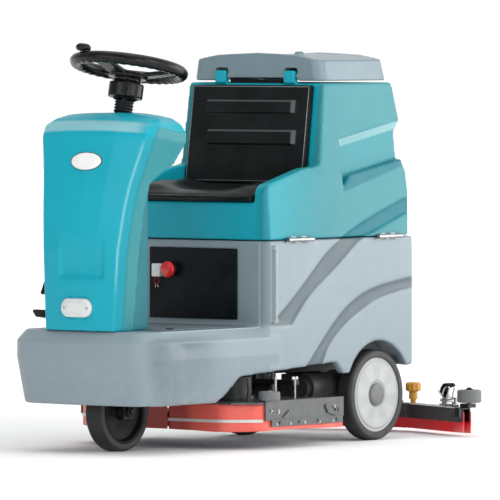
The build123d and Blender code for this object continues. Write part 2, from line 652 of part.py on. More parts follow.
def make_side_bracket():
    """Folded steel bracket on the deck's edge with its lower strip and bolts."""
    x0, x1 = BRACKET_X, BRACKET_X + 4
    plate = block((x0, x1), (-287, 86), (84, PLATE_TOP))
    plate += block((x0 - 40, x1), (-287, 86), (PLATE_TOP, PLATE_TOP + 3))
    plate -= block((x0 - 50, x0 - 5), (20, 100), (PLATE_TOP - 1, PLATE_TOP + 5))
    plate += block((x1, x1 + 3), (-262, 78), (66, 86))
    for y in (-222, -130, -40, 50):
        plate += rod_x(x1 + 3, x1 + 6, y, 76, 5)
    plate += rod_x(x1, x1 + 4, -252, 112, 6)
    plate += rod_x(x1, x1 + 4, 62, 104, 6)
    # lever latch of the skirt
    plate += side_prism([(-8, 118), (2, 122), (38, 98), (46, 112), (52, 110), (42, 88), (6, 96)], x1, x1 + 5)
    plate += side_prism([(-210, 92), (-190, 90), (-176, 112), (-186, 108), (-196, 100)], x1, x1 + 5)
    return plate


ROLLER_AT = (DECK_X + DECK_HALF - 2, -262)
ROLLER_R = 31.5
bracket = make_side_bracket()
bracket += block((ROLLER_AT[0] - 16, BRACKET_X + 4), (-282, -240), (PLATE_TOP, PLATE_TOP + 3))
bracket += rod_z(*ROLLER_AT, PLATE_TOP, 172, 5)
save("deck_side_brackets", *about_deck(bracket))

for name, side in (("left", 1), ("right", -1)):
    x = ROLLER_AT[0] if side > 0 else deck_side(ROLLER_AT[0])
    roller = rod_z(x, ROLLER_AT[1], 141, 168, ROLLER_R)
    roller = fillet([e for e in roller.edges() if e.geom_type == GeomType.CIRCLE], 2.5)
    roller -= rod_z(x, ROLLER_AT[1], 100, 200, 5 + DRAW_GAP)
    save(f"deck_roller_{name}", roller)

motors = []
for name, x in BRUSH_XS.items():
    can = rod_z(x, BRUSH_Y, PLATE_TOP, 150, 58) + rod_z(x, BRUSH_Y, 150, 205, 50)
    can -= rod_z(x, BRUSH_Y, 100, 170, 9 + DRAW_GAP)
    motors.append(can)
    hub = rod_z(x, BRUSH_Y, 82, 96, BRUSH_R - 12) + rod_z(x, BRUSH_Y, 96, 118, 34)
    hub += rod_z(x, BRUSH_Y, 118, 165, 9)
    tufts = rod_z(x, BRUSH_Y, 55, 82, BRUSH_R - 4) - rod_z(x, BRUSH_Y, 50, 90, 55)
    save(f"brush_{name}", hub, tufts)
save("brush_motors", *motors)

rods = []
for x in GUIDE_XS:
    rods.append(rod_z(x, GUIDE_Y, PLATE_TOP, 246, GUIDE_R))
RAM_R = 7
rods.append(rod_z(0, LIFT_RAM_Y, PLATE_TOP, 234, RAM_R))
save("deck_plate", make_deck_plate(), *rods)
ram = rod_z(0, LIFT_RAM_Y, 188, 236, 20)
ram -= rod_z(0, LIFT_RAM_Y, 100, 236 - 0.5, RAM_R + DRAW_GAP)
ram_motor = rod_y(0, -104, -89, 214, 12) + rod_y(0, -89, -30, 214, 20)
ram_motor -= rod_z(0, LIFT_RAM_Y, 180, 240, 19.9)
save("lift_actuator", ram + ram_motor)


# ---- squeegee ------------------------------------------------------------------------------------
def wing_line(offset, z):
    """Plan curve of the squeegee, moved rearward by offset."""
    slope = math.radians(SQ_SLOPE)
    x_end, y_end = SQ_END
    y_flat = y_end + (x_end - SQ_FLAT) * math.tan(slope)
    radius = SQ_FLAT / math.sin(slope)
    y_mid = y_flat + radius * (1 - math.cos(slope))
    right = Line((x_end, y_end + offset, z), (SQ_FLAT, y_flat + offset, z))
    arc = ThreePointArc((SQ_FLAT, y_flat + offset, z), (0, y_mid + offset, z),
                        (-SQ_FLAT, y_flat + offset, z))
    left = Line((-SQ_FLAT, y_flat + offset, z), (-x_end, y_end + offset, z))
    return [right, arc, left]


def wing_band(front, rear, z0, z1):
    """Solid between two copies of the plan curve."""
    a, b = wing_line(front, z0), wing_line(rear, z0)
    end_a = Line(a[2] @ 1, b[2] @ 1)
    end_b = Line(b[0] @ 0, a[0] @ 0)
    face = make_face([*a, end_a, *b, end_b])
    return extrude(face, amount=z1 - z0, dir=(0, 0, 1))


SWING_AT = (0, 590)
SWING_PIN_R = 10


def make_squeegee_body():
    body = wing_band(-34, 6, SQ_TOP - 5, SQ_TOP)
    body += wing_band(-34, -30, SQ_BODY_LOW, SQ_TOP)
    body += wing_band(2, 6, SQ_BODY_LOW, SQ_TOP)
    # tongue to the swing pivot, and the stubs that carry the end rollers
    tongue = block((-36, 36), (SWING_AT[1] - 22, 742), (SQ_TOP, SQ_TOP + 6))
    tongue -= rod_z(*SWING_AT, 0, 200, SWING_PIN_R + DRAW_GAP)
    body += tongue
    end_x, end_y = SQ_END
    for stub in twin(block((end_x - 20, end_x + 12), (end_y - 20, end_y + 18), (SQ_TOP, SQ_TOP + 12))):
        body += stub
    for pin in twin(rod_z(*SQ_END, SQ_TOP, 144, 5)):
        body += pin
    return body


front_blade = wing_band(-29.6, -24, SQ_LOW + 3, 74)
rear_blade = wing_band(6.4, 11, SQ_LOW, 74)
save("squeegee_blades", front_blade, rear_blade)

INLET_Y, INLET_R = 752, 24
inlet = rod_z(0, INLET_Y, SQ_TOP, SQ_TOP + 6, INLET_R + 6)
inlet += rod_z(0, INLET_Y, SQ_TOP + 6, SQ_TOP + 36, INLET_R)
inlet -= rod_z(0, INLET_Y, SQ_TOP - 1, SQ_TOP + 40, 19)
inlet -= block((-36, 36), (500, 742), (SQ_TOP - 1, SQ_TOP + 6))


def make_knob(x, y):
    top = rod_z(x, y, 124, 150, 24)
    for i in range(8):
        notch = Pos(x, y, 0) * Rot(0, 0, i * 45) * rod_z(26, 0, 120, 152, 4.5)
        top -= notch
    return top + rod_z(x, y, 99, 125, 13) + rod_z(x, y, SQ_TOP + 0.3, 99, 8)


save("squeegee_knobs", *twin(make_knob(96, 722)))

ROLL_R = 36
for name, x in (("left", SQ_END[0]), ("right", -SQ_END[0])):
    roller = rod_z(x, SQ_END[1], 101, 139, ROLL_R)
    roller = fillet([e for e in roller.edges() if e.geom_type == GeomType.CIRCLE], 3)
    roller -= rod_z(x, SQ_END[1], 50, 200, 5 + DRAW_GAP)
    save(f"squeegee_roller_{name}", roller)

LATCH_AT = (278, 655)    # plan place of each toggle latch's pivot
LATCH_Z = 104


def make_latch():
    """Over-centre lever, lying over the wing and hinged along the wing's slope."""
    lever = block((-34, 8), (-12, 12), (-4, 4)) + Rot(0, 32, 0) * block((-52, 2), (-13, 13), (-3, 3))
    lever += Rot(90, 0, 0) * Cylinder(6, 26)
    lever -= Rot(90, 0, 0) * Cylinder(3 + DRAW_GAP, 60)
    return lever


latch_frame = Pos(LATCH_AT[0], LATCH_AT[1], LATCH_Z) * Rot(0, 0, -SQ_SLOPE)
lever_left = latch_frame * make_latch()
save("squeegee_latch_left", lever_left)
save("squeegee_latch_right", mirror(lever_left, about=Plane.YZ))
base = block((-10, 10), (-20, -15), (SQ_TOP - LATCH_Z, 8))
base += block((-10, 10), (15, 20), (SQ_TOP - LATCH_Z, 8))
base += Rot(90, 0, 0) * Cylinder(3, 40)
latch_base = latch_frame * base
save("squeegee_body", make_squeegee_body(), inlet, *twin(latch_base))


def make_lift_arm():
    y, z = LIFT_HINGE
    arm = None
    for plate in twin(block((20, 29.5), (y, 500), (z - 11, z + 14)) + rod_x(20, 29.5, y, z, 11)):
        arm = plate if arm is None else arm + plate
    arm += block((-29.5, 29.5), (486, 500), (z - 30, z + 14))
    arm += block((-29.5, 29.5), (486, SWING_AT[1] + 20), (z - 34, z - 26))
    arm += rod_x(-38, 38, y, z, HINGE_PIN_R - DRAW_GAP)
    arm += rod_z(*SWING_AT, 74, z - 26, SWING_PIN_R)
    arm += rod_z(*SWING_AT, 74, 80, 18)
    return arm


save("squeegee_lift_arm", make_lift_arm())


# ---- recovery tank -------------------------------------------------------------------------------
NECK_X, NECK_Z, NECK_R = 120, 690, 30
NECK_BASE, NECK_END = 494, 522
BACK_LOW, BACK_TOP = (30, SEAT_Z), (73, TANK_TOP_Z)
REAR_PROFILE = [(405, TANK_TOP_Z), (427, 979), (442, 937), (434, 900), (445, 817), (463, 786),
                (481, 681)]
TANK_HOLLOW = [(60, 640), (60, 760), (98, 1040), (370, 1040), (390, 960), (405, 900), (412, 800), (440, 640)]
WINDOW = [(138, 887), (480, 947), (500, 818), (153, 733)]
WINDOW_FLOOR = [(150, 745), (153, 733), (500, 818), (500, 836), (187, 782)]
ARM_PROFILE = [(SEAT_FRONT_Y, SEAT_Z - 20), (SEAT_FRONT_Y, 735), (SEAT_FRONT_Y + 8, 752), (-205, 762),
               (-47, 802), (-25, 806), (10, 808), (120, 830), (120, SEAT_Z - 20)]


def make_tank():
    foot = SEAM_Z + SEAM_GAP
    profile = [(SEAT_FRONT_Y, foot), (SEAT_FRONT_Y, SEAT_Z), BACK_LOW, BACK_TOP, *REAR_PROFILE,
               (REAR_Y, foot)]
    tank = side_prism(profile, -BODY_HALF, BODY_HALF)
    for arm in twin(side_prism(ARM_PROFILE, PANEL_HALF + 2, BODY_HALF)):
        tank += arm
    # the sides lean inward towards the top
    lean = BODY_HALF - TANK_TOP_HALF
    wedge = [(BODY_HALF, foot), (TANK_TOP_HALF, TANK_TOP_Z), (TANK_TOP_HALF, 1100), (400, 1100),
             (400, foot)]
    for cutter in twin(front_prism(wedge, -400, 600)):
        tank -= cutter
    plan = block((-BODY_HALF, BODY_HALF), (SEAT_FRONT_Y, REAR_Y), (foot, 1100))
    plan = round_upright(plan, 44, lambda c: c.Y > 0)
    tank = tank & round_upright(plan, 24, lambda c: c.Y < 0)
    # inside: the tank behind the backrest and the battery cover under the seat
    tank -= side_prism(TANK_HOLLOW, -232, 232)
    tank -= block((-190, 190), (118, 362), (1030, 1100))
    tank -= block((-225, 225), (SEAT_FRONT_Y + 12, 345), (500, 626))
    tank -= block((-205, 205), (SEAT_FRONT_Y + 14, 20), (500, 696))
    # rounded-square windows in the sides
    window = side_prism(WINDOW, BODY_HALF - 31, 400)
    floor_wedge = side_prism(WINDOW_FLOOR, BODY_HALF - 40, 400)
    for cutter in twin(window - floor_wedge):
        tank -= cutter
    for cutter in groove_cutters(BODY_HALF - 4):
        tank -= cutter
    # lugs of the lid hinge
    for lug in twin(block((LUG_X - 19, LUG_X + 19), (62, 82), (TANK_TOP_Z - 1, 1088))):
        tank += lug
    tank -= rod_x(-300, 300, *LID_AXIS, 4 + DRAW_GAP)
    # hose neck and drain neck on the rear face
    shell_rear = side_prism([(300, foot), (300, 1000), *REAR_PROFILE[1:], (REAR_Y, foot)], -300, 300)
    for x, bore in ((-NECK_X, 24), (NECK_X, 0)):
        neck = rod_y(x, 430, NECK_BASE, NECK_Z, NECK_R + 8) + rod_y(x, NECK_BASE, NECK_END, NECK_Z, NECK_R)
        tank += neck - shell_rear
        if bore:
            tank -= rod_y(x, 400, NECK_END + 1, NECK_Z, bore)
    return tank


save("recovery_tank", make_tank())

LID_LOW, LID_TOP = 1058, 1140
LID_HALF = 240


def make_lid():
    outer = block((-LID_HALF, LID_HALF), (72, 405), (LID_LOW, LID_TOP - 22))
    outer = round_upright(outer, 34, lambda c: True)
    crown = block((-LID_HALF, LID_HALF), (72, 405), (LID_TOP - 22, LID_TOP))
    crown = round_upright(crown, 34, lambda c: True)
    arch = [(-LID_HALF, 1110), (LID_HALF, 1110), (LID_HALF, 1119), (140, 1134), (0, LID_TOP), (-140, 1134),
            (-LID_HALF, 1119)]
    outer += crown & front_prism(arch, 60, 420)
    outer -= block((-226, 226), (98, 391), (1000, 1108))
    for notch in twin(block((LUG_X - 23, LUG_X + 23), (40, 97), (1000, 1096))):
        outer -= notch
    for pin in twin(rod_x(LUG_X - 32, LUG_X + 32, *LID_AXIS, 4)):
        outer += pin
    return outer


lid = make_lid()
cap = Pos(130, 110, 1134) * Cylinder(13, 22)
save("tank_lid", lid, cap - lid)

# ---- hinges of the tilting tank ------------------------------------------------------------------
HINGE_RUNS = ((-136, -14), (303, 418))


def hinge_leaves(parity):
    """Barrel segments of one leaf: every second fifth of each hinge, with its leaf plate."""
    solids = []
    for y0, y1 in HINGE_RUNS:
        step = (y1 - y0) / 5
        for i in range(5):
            if i % 2 != parity:
                continue
            a, b = y0 + i * step + 0.3, y0 + (i + 1) * step - 0.3
            barrel = rod_y(HINGE_X, a, b, SEAM_Z, HINGE_R)
            if parity:
                leaf = block((BODY_HALF + 0.4, BODY_HALF + 3), (a, b), (SEAM_Z, SEAM_Z + 9))
            else:
                leaf = block((BODY_HALF, BODY_HALF + 3), (a, b), (SEAM_Z - 9, SEAM_Z))
            bore = 3 + (DRAW_GAP if parity else 0)
            solids.append(barrel + leaf - rod_y(HINGE_X, y0 - 5, y1 + 5, SEAM_Z, bore))
    return solids


pins = [rod_y(HINGE_X, y0 - 3, y1 + 3, SEAM_Z, 3) for y0, y1 in HINGE_RUNS]
save("lower_hinge_leaves", *hinge_leaves(0), *pins)
save("upper_hinge_leaves", *hinge_leaves(1))

# ---- seat ----------------------------------------------------------------------------------------
SEAT_HALF = PANEL_HALF - 3
CUSHION = [(-234, 712), (-236, 735), (-224, 750), (-60, 752), (0, 756), (8, 750), (14, SEAT_Z + 0.5),
           (-222, SEAT_Z + 0.5)]
cushion = side_prism(CUSHION, -SEAT_HALF, SEAT_HALF)
save("seat_cushion", cushion)
BACKREST = [(9, 762), (49.5, 1044), (60.5, 1046), (70, 1042), (33, 752), (14, 752)]
back = side_prism(BACKREST, -SEAT_HALF, SEAT_HALF)
rake = math.degrees(math.atan2(BACK_TOP[0] - BACK_LOW[0], BACK_TOP[1] - BACK_LOW[1]))
back -= side_prism([BACK_LOW, (BACK_TOP[0], BACK_TOP[1]), (200, 1100), (200, SEAT_Z)], -300, 300)
save("backrest_pad", back)

# ---- inside the recovery tank --------------------------------------------------------------------
vacuum = rod_z(130, 230, 900, 1030, 62) + block((60, 226), (180, 280), (1030, 1040))
vacuum += rod_z(130, 230, 880, 902, 30)
save("vacuum_motor", vacuum)
cage = rod_z(-150, 230, 900, 1036, 34) - rod_z(-150, 230, 896, 1030, 31)
for i in range(4):
    cage -= Pos(-150, 230, 950) * Rot(0, 0, i * 45) * Box(90, 14, 80)
cage += block((-226, -178), (200, 260), (1036, 1040)) + block((-190, -140), (215, 245), (1034, 1040))
save("float_valve", cage, Pos(-150, 230, 925) * Sphere(24))
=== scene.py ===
import math
import bmesh
import bpy
from mathutils import Matrix, Vector
from mathutils.bvhtree import BVHTree


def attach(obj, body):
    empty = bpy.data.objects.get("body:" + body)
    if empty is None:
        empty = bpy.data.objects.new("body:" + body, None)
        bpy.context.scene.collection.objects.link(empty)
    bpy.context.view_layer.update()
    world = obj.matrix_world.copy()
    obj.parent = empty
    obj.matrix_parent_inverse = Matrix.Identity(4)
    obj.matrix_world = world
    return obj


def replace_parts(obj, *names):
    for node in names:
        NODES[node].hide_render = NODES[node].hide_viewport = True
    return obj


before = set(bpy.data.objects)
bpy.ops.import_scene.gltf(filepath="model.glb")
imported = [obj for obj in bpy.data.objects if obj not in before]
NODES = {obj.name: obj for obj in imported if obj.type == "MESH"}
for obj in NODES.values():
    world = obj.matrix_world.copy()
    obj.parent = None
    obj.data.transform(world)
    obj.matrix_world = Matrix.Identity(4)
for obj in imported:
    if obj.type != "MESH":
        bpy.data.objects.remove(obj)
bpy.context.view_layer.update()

# Ride-on floor scrubber, in metres. +Z up, the operator faces -Y, +X is the machine's left side.
SCENE = bpy.context.scene

# ---- camera, light and floor ----
CAM_AT = Vector((13.2646, -17.2437, 1.2445))
CAM_HEADING = math.radians(37.5)
CAM_PITCH = math.radians(1.795)
CAM_LENS = 535.3

camera_data = bpy.data.cameras.new("camera")
camera_data.lens = CAM_LENS
camera_data.sensor_width = 36
camera_data.clip_end = 200
camera = bpy.data.objects.new("camera", camera_data)
SCENE.collection.objects.link(camera)
camera.location = CAM_AT
camera.rotation_euler = (math.radians(90) - CAM_PITCH, 0, CAM_HEADING)
SCENE.camera = camera
SCENE.view_settings.view_transform = "Standard"


AIM = Vector((0, 0, 0.55))
COOL = (0.97, 0.99, 1.0)
WARM = (1.0, 0.995, 0.99)


def area_light(name, at, size, power, tint=(1, 1, 1)):
    """Rectangular softbox that faces the middle of the machine."""
    data = bpy.data.lights.new(name, "AREA")
    data.shape = "RECTANGLE"
    data.size, data.size_y = size
    data.energy = power
    data.color = tint
    lamp = bpy.data.objects.new(name, data)
    SCENE.collection.objects.link(lamp)
    lamp.location = at
    lamp.rotation_euler = (AIM - Vector(at)).to_track_quat("-Z", "Y").to_euler()


area_light("side_softbox", (3.6, 4.2, 1.5), (4.0, 2.8), 105, WARM)
area_light("key_side", (4.6, -0.6, 2.4), (2.4, 2.2), 62)
area_light("corner_strip", (3.4, -2.7, 1.3), (0.3, 1.6), 20)
area_light("front_fill", (-0.6, -5.0, 2.2), (2.4, 1.6), 40, COOL)
area_light("seat_fill", (1.7, -5.0, 1.7), (1.4, 1.4), 26, COOL)
area_light("top_soft", (0, -0.2, 4.4), (3.0, 3.0), 42)


# ---- materials ----
def node_of(tree, kind, **values):
    made = tree.nodes.new(kind)
    for key, value in values.items():
        setattr(made, key, value)
    return made


def noise(tree, coords, scale, detail=3.0):
    made = node_of(tree, "ShaderNodeTexNoise")
    made.inputs["Scale"].default_value = scale
    made.inputs["Detail"].default_value = detail
    tree.links.new(coords, made.inputs["Vector"])
    return made.outputs["Fac"]


def spread(tree, value, low, high, to_low, to_high, curve="LINEAR"):
    made = node_of(tree, "ShaderNodeMapRange", interpolation_type=curve)
    for name, number in (("From Min", low), ("From Max", high), ("To Min", to_low), ("To Max", to_high)):
        made.inputs[name].default_value = number
    tree.links.new(value, made.inputs["Value"])
    return made.outputs["Result"]


def mix(tree, factor, a, b):
    """Colour mix; a and b are colours or sockets, factor is a number or a socket."""
    made = node_of(tree, "ShaderNodeMix", data_type="RGBA")
    for socket, value in ((made.inputs[0], factor), (made.inputs[6], a), (made.inputs[7], b)):
        if isinstance(value, bpy.types.NodeSocket):
            tree.links.new(value, socket)
        else:
            socket.default_value = value if isinstance(value, (int, float)) else (*value, 1)
    return made.outputs[2]


BRIGHT_WAY = (0.36, 0.93, 0.10)
WALL_DIM, WALL_BRIGHT = 0.34, 1.02


def make_studio():
    """White studio: the wall is brightest behind the machine and to its rear left."""
    world = bpy.data.worlds.new("studio")
    SCENE.world = world
    world.use_nodes = True
    sky = world.node_tree
    background = sky.nodes["Background"]
    background.inputs["Color"].default_value = (1, 1, 1, 1)
    heading = node_of(sky, "ShaderNodeVectorMath", operation="DOT_PRODUCT")
    heading.inputs[1].default_value = BRIGHT_WAY
    sky.links.new(node_of(sky, "ShaderNodeTexCoord").outputs["Generated"], heading.inputs[0])
    wall = spread(sky, heading.outputs["Value"], -0.55, 0.35, WALL_DIM, WALL_BRIGHT, "SMOOTHSTEP")
    sky.links.new(wall, background.inputs["Strength"])


make_studio()
DUST = (0.42, 0.40, 0.37)
DUST_TOP = 0.35


def finish_of(name, colour, rough, metal=0.0, vary=0.08, patch=9.0, grain=420.0, grain_depth=0.0002,
              coat=0.0, dust=0.0, zones=(), scratch=0.0, clear=0.0, gloss=0.5):
    """Procedural material: patchy colour, uneven roughness, a fine surface grain, floor dust and wear.

    zones are (attribute, colour) pairs: the colour shows where the mesh attribute is 1.
    """
    made = bpy.data.materials.new(name)
    made.use_nodes = True
    tree = made.node_tree
    shader = tree.nodes["Principled BSDF"]
    place = node_of(tree, "ShaderNodeTexCoord").outputs["Object"]
    dark = tuple(c * (1 - vary) for c in colour)
    light = tuple(min(1, c * (1 + vary) + vary * 0.02) for c in colour)
    tone = mix(tree, spread(tree, noise(tree, place, patch, 4), 0.3, 0.7, 0, 1), dark, light)
    for attribute, zone_colour in zones:
        mask = node_of(tree, "ShaderNodeAttribute", attribute_name=attribute).outputs["Fac"]
        tone = mix(tree, mask, tone, zone_colour)
    if dust:
        height = node_of(tree, "ShaderNodeSeparateXYZ")
        tree.links.new(place, height.inputs[0])
        speck = node_of(tree, "ShaderNodeMath", operation="MULTIPLY")
        tree.links.new(spread(tree, height.outputs[2], 0.0, DUST_TOP, dust, 0), speck.inputs[0])
        tree.links.new(spread(tree, noise(tree, place, 34, 6), 0.42, 0.72, 0, 1), speck.inputs[1])
        tone = mix(tree, speck.outputs[0], tone, DUST)
    tree.links.new(tone, shader.inputs["Base Color"])
    uneven = spread(tree, noise(tree, place, 26, 5), 0.3, 0.7, rough * 0.86, min(1, rough * 1.14))
    tree.links.new(uneven, shader.inputs["Roughness"])
    fine = noise(tree, place, grain, 2)
    if scratch:
        stretch = node_of(tree, "ShaderNodeMapping")
        stretch.inputs["Scale"].default_value = (1, 1, 60)
        tree.links.new(place, stretch.inputs["Vector"])
        total = node_of(tree, "ShaderNodeMath", operation="MULTIPLY_ADD")
        total.inputs[1].default_value = scratch
        tree.links.new(noise(tree, stretch.outputs[0], 18, 3), total.inputs[0])
        tree.links.new(fine, total.inputs[2])
        fine = total.outputs[0]
    bump = node_of(tree, "ShaderNodeBump")
    bump.inputs["Strength"].default_value = 0.35
    bump.inputs["Distance"].default_value = grain_depth
    tree.links.new(fine, bump.inputs["Height"])
    tree.links.new(bump.outputs[0], shader.inputs["Normal"])
    for socket, value in (("Metallic", metal), ("Specular IOR Level", gloss), ("Coat Weight", coat),
                          ("Coat Roughness", 0.12), ("Transmission Weight", clear)):
        shader.inputs[socket].default_value = value
    return made


TEAL = (0.004, 0.330, 0.425)
# Painted shade colour for the teal's grooves, bevels and recesses.
TEAL_PAINTED_SHADE = (0.002, 0.150, 0.190)
GREY = (0.215, 0.275, 0.308)
# Painted shade colour for the grey's grooves, arch lips and nose sides.
GREY_PAINTED_SHADE = (0.072, 0.106, 0.124)
MAT = {
    # Teal zones: painted shade on the side faces, painted shade in grooves, bevels and recesses, and painted
    # highlights.
    "teal": finish_of("teal_moulding", TEAL, 0.36, vary=0.03, patch=5, grain=900, grain_depth=0.0001,
                      gloss=0.24, zones=[("side", (0.016, 0.205, 0.232)), ("painted_shade", TEAL_PAINTED_SHADE),
                                         ("pale", (0.30, 0.52, 0.55))]),
    # Grey zones: painted shade in grooves, arch lips and nose sides, and painted highlight lines.
    "grey": finish_of("grey_moulding", GREY, 0.42, vary=0.04, patch=5, grain=800, grain_depth=0.00012,
                      coat=0.06, dust=0.25, zones=[("painted_shade", GREY_PAINTED_SHADE), ("pale", (0.66, 0.72, 0.74))]),
    # The lid's zone colour is a painted highlight.
    "lid": finish_of("lid_moulding", (0.150, 0.215, 0.248), 0.36, vary=0.05, patch=7, grain=800,
                     grain_depth=0.0001, coat=0.1, zones=[("pale", (0.42, 0.48, 0.50))]),
    "panel": finish_of("panel_black", (0.0012, 0.0042, 0.0060), 0.34, vary=0.3, patch=14, grain=700,
                       gloss=0.12),
    # The vinyl's zone colour is a painted highlight on the backrest's bars.
    "vinyl": finish_of("seat_vinyl", (0.0055, 0.0075, 0.0080), 0.34, vary=0.25, patch=12, grain=330,
                       grain_depth=0.0004, gloss=0.15, zones=[("rib_highlight", (0.100, 0.108, 0.110))]),
    "piping": finish_of("piping_grey", (0.230, 0.245, 0.250), 0.36, vary=0.1, patch=60, grain=500),
    "wheel": finish_of("steering_black", (0.0035, 0.0037, 0.0042), 0.26, vary=0.25, patch=30, grain=500,
                       grain_depth=0.0002, gloss=0.22),
    "boot": finish_of("boot_rubber", (0.006, 0.006, 0.0065), 0.42, vary=0.25, patch=40, gloss=0.3),
    "mat": finish_of("mat_rubber", (0.120, 0.152, 0.170), 0.8, vary=0.12, patch=25, grain=300,
                     grain_depth=0.0006, gloss=0.08),
    "hinge": finish_of("hinge_steel", (0.34, 0.35, 0.35), 0.22, metal=1.0, vary=0.2, patch=50, scratch=0.4),
    "pedal": finish_of("pedal_rubber", (0.006, 0.0065, 0.007), 0.40, vary=0.25, patch=40, grain=300,
                       grain_depth=0.0006, gloss=0.22),
    "seal": finish_of("seal_rubber", (0.004, 0.004, 0.0045), 0.6, vary=0.25, patch=60, gloss=0.1),
    "frame": finish_of("frame_black", (0.007, 0.0075, 0.008), 0.42, vary=0.25, patch=16, dust=0.04,
                       gloss=0.3),
    "deck": finish_of("deck_grey", (0.098, 0.102, 0.104), 0.36, metal=0.4, vary=0.14, patch=30, grain=260,
                      dust=0.05, scratch=0.3),
    "motor": finish_of("motor_grey", (0.030, 0.032, 0.034), 0.40, vary=0.2, patch=24, dust=0.04, gloss=0.4),
    "steel": finish_of("bright_steel", (0.36, 0.36, 0.37), 0.26, metal=1.0, vary=0.12, patch=40, scratch=0.5),
    "chrome": finish_of("chrome", (0.62, 0.63, 0.64), 0.14, metal=1.0, vary=0.05, patch=60,
                        grain_depth=0.00004),
    "alloy": finish_of("cast_alloy", (0.42, 0.43, 0.44), 0.40, metal=0.9, vary=0.12, patch=30, grain=300,
                       grain_depth=0.0004),
    "tyre": finish_of("tyre_rubber", (0.052, 0.050, 0.053), 0.6, vary=0.07, patch=12, grain=260,
                      grain_depth=0.0005, dust=0.03, gloss=0.35, zones=[("tread", (0.016, 0.016, 0.0165))]),
    "rim": finish_of("rim_dark", (0.005, 0.005, 0.0055), 0.45, vary=0.2, patch=30, dust=0.03, gloss=0.3),
    "disc": finish_of("disc_white", (0.40, 0.415, 0.41), 0.42, vary=0.04, patch=16, grain=600, dust=0.06,
                      gloss=0.3, zones=[("facet", (0.450, 0.465, 0.460))]),
    "hub": finish_of("hub_grey", (0.130, 0.134, 0.138), 0.42, vary=0.1, patch=40, dust=0.2),
    # The coral's zone colour is painted shade on the middle of the front skirt and the centre flap.
    "coral": finish_of("coral_skirt", (0.800, 0.118, 0.088), 0.46, vary=0.07, patch=14, grain=300,
                       grain_depth=0.0003, dust=0.08, zones=[("inner", (0.43, 0.045, 0.035))]),
    "pale": finish_of("pale_strip", (0.63, 0.63, 0.60), 0.4, vary=0.08, patch=30, dust=0.25),
    "red": finish_of("blade_red", (0.760, 0.014, 0.022), 0.36, vary=0.08, patch=16, grain=300, dust=0.06,
                     gloss=0.25, zones=[("tip", (0.83, 0.23, 0.21))]),
    "signal": finish_of("signal_red", (0.72, 0.010, 0.012), 0.27, vary=0.06, patch=40, coat=0.3),
    "yellow": finish_of("knob_yellow", (0.560, 0.262, 0.020), 0.42, vary=0.12, patch=40, dust=0.1),
    "white": finish_of("white_plastic", (0.76, 0.77, 0.76), 0.34, vary=0.05, patch=40, coat=0.15),
    "lamp": finish_of("lamp_white", (0.60, 0.62, 0.62), 0.34, vary=0.05, patch=40, coat=0.2),
    "lens": finish_of("lamp_lens", (0.72, 0.74, 0.74), 0.15, vary=0.05, patch=60, grain=180,
                      grain_depth=0.0005, coat=0.5, clear=0.15),
    "outline": finish_of("badge_outline", (0.05, 0.075, 0.085), 0.35, vary=0.15, patch=40),
    "cord": finish_of("cord_red", (0.62, 0.018, 0.022), 0.6, vary=0.2, patch=300, grain=1400,
                      grain_depth=0.0004),
    "tube": finish_of("sight_glass", (0.50, 0.56, 0.58), 0.08, vary=0.06, patch=20, clear=0.5, coat=0.6),
    "bristle": finish_of("brush_nylon", (0.055, 0.065, 0.20), 0.55, vary=0.4, patch=300, grain=900,
                         grain_depth=0.001, dust=0.3, scratch=1.5),
    "rail": finish_of("rail_black", (0.012, 0.012, 0.013), 0.30, metal=0.3, vary=0.2, patch=30, scratch=0.2),
    "roller": finish_of("roller_grey", (0.135, 0.140, 0.145), 0.44, vary=0.12, patch=40, dust=0.15),
    "battery": finish_of("battery_case", (0.030, 0.031, 0.034), 0.55, vary=0.2, patch=18),
    # Copy of the teal darkened with painted shade.
    "teal_shaded": finish_of("teal_shade", (0.006, 0.150, 0.180), 0.40, vary=0.05, patch=8, grain=900,
                           grain_depth=0.0001, gloss=0.2),
}

# ---- mesh helpers ----
WELD = 0.00002           # corners closer than this are the same corner
POLE = 0.0001            # radius of a turned profile where it meets its axis
SIDES = (("left", 1), ("right", -1))
LEFTWARD, FORWARD, UP = (1, 0, 0), (0, -1, 0), (0, 0, 1)


def put(name, mesh, body, material, smooth=True):
    """A new piece from a mesh that is already in the row frame."""
    made = bpy.data.objects.new(name, mesh)
    SCENE.collection.objects.link(made)
    mesh.materials.clear()
    mesh.materials.append(MAT[material])
    if smooth:
        mesh.polygons.foreach_set("use_smooth", [True] * len(mesh.polygons))
    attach(made, body)
    return made


def final_mesh(made):
    """The object's mesh with its modifiers applied."""
    graph = bpy.context.evaluated_depsgraph_get()
    return bpy.data.meshes.new_from_object(made.evaluated_get(graph))


def baked(made, body, material, name):
    """The piece with its modifiers applied, as a new object."""
    mesh = final_mesh(made)
    bpy.data.objects.remove(made)
    return put(name, mesh, body, material)


def mesh_of(name, bm):
    mesh = bpy.data.meshes.new(name)
    bm.to_mesh(mesh)
    bm.free()
    return mesh


def from_bmesh(name, bm, body, material, smooth=True):
    bmesh.ops.recalc_face_normals(bm, faces=bm.faces)
    return put(name, mesh_of(name, bm), body, material, smooth)


def loose(name, bm):
    """An object that no body carries yet."""
    made = bpy.data.objects.new(name, mesh_of(name, bm))
    SCENE.collection.objects.link(made)
    return made


def welded(node):
    """A CAD node's mesh with its split corners joined."""
    bm = bmesh.new()
    bm.from_mesh(NODES[node].data)
    bmesh.ops.remove_doubles(bm, verts=bm.verts, dist=WELD)
    return bm


def even_out(made, voxel, shape):
    """The object's mesh is remade in small even faces, and each point is moved by shape."""
    made.modifiers.new("even", "REMESH").voxel_size = voxel * 1
    mesh = final_mesh(made)
    made.modifiers.clear()
    made.data = mesh
    if shape:
        for v in mesh.vertices:
            v.co = shape(v.co)


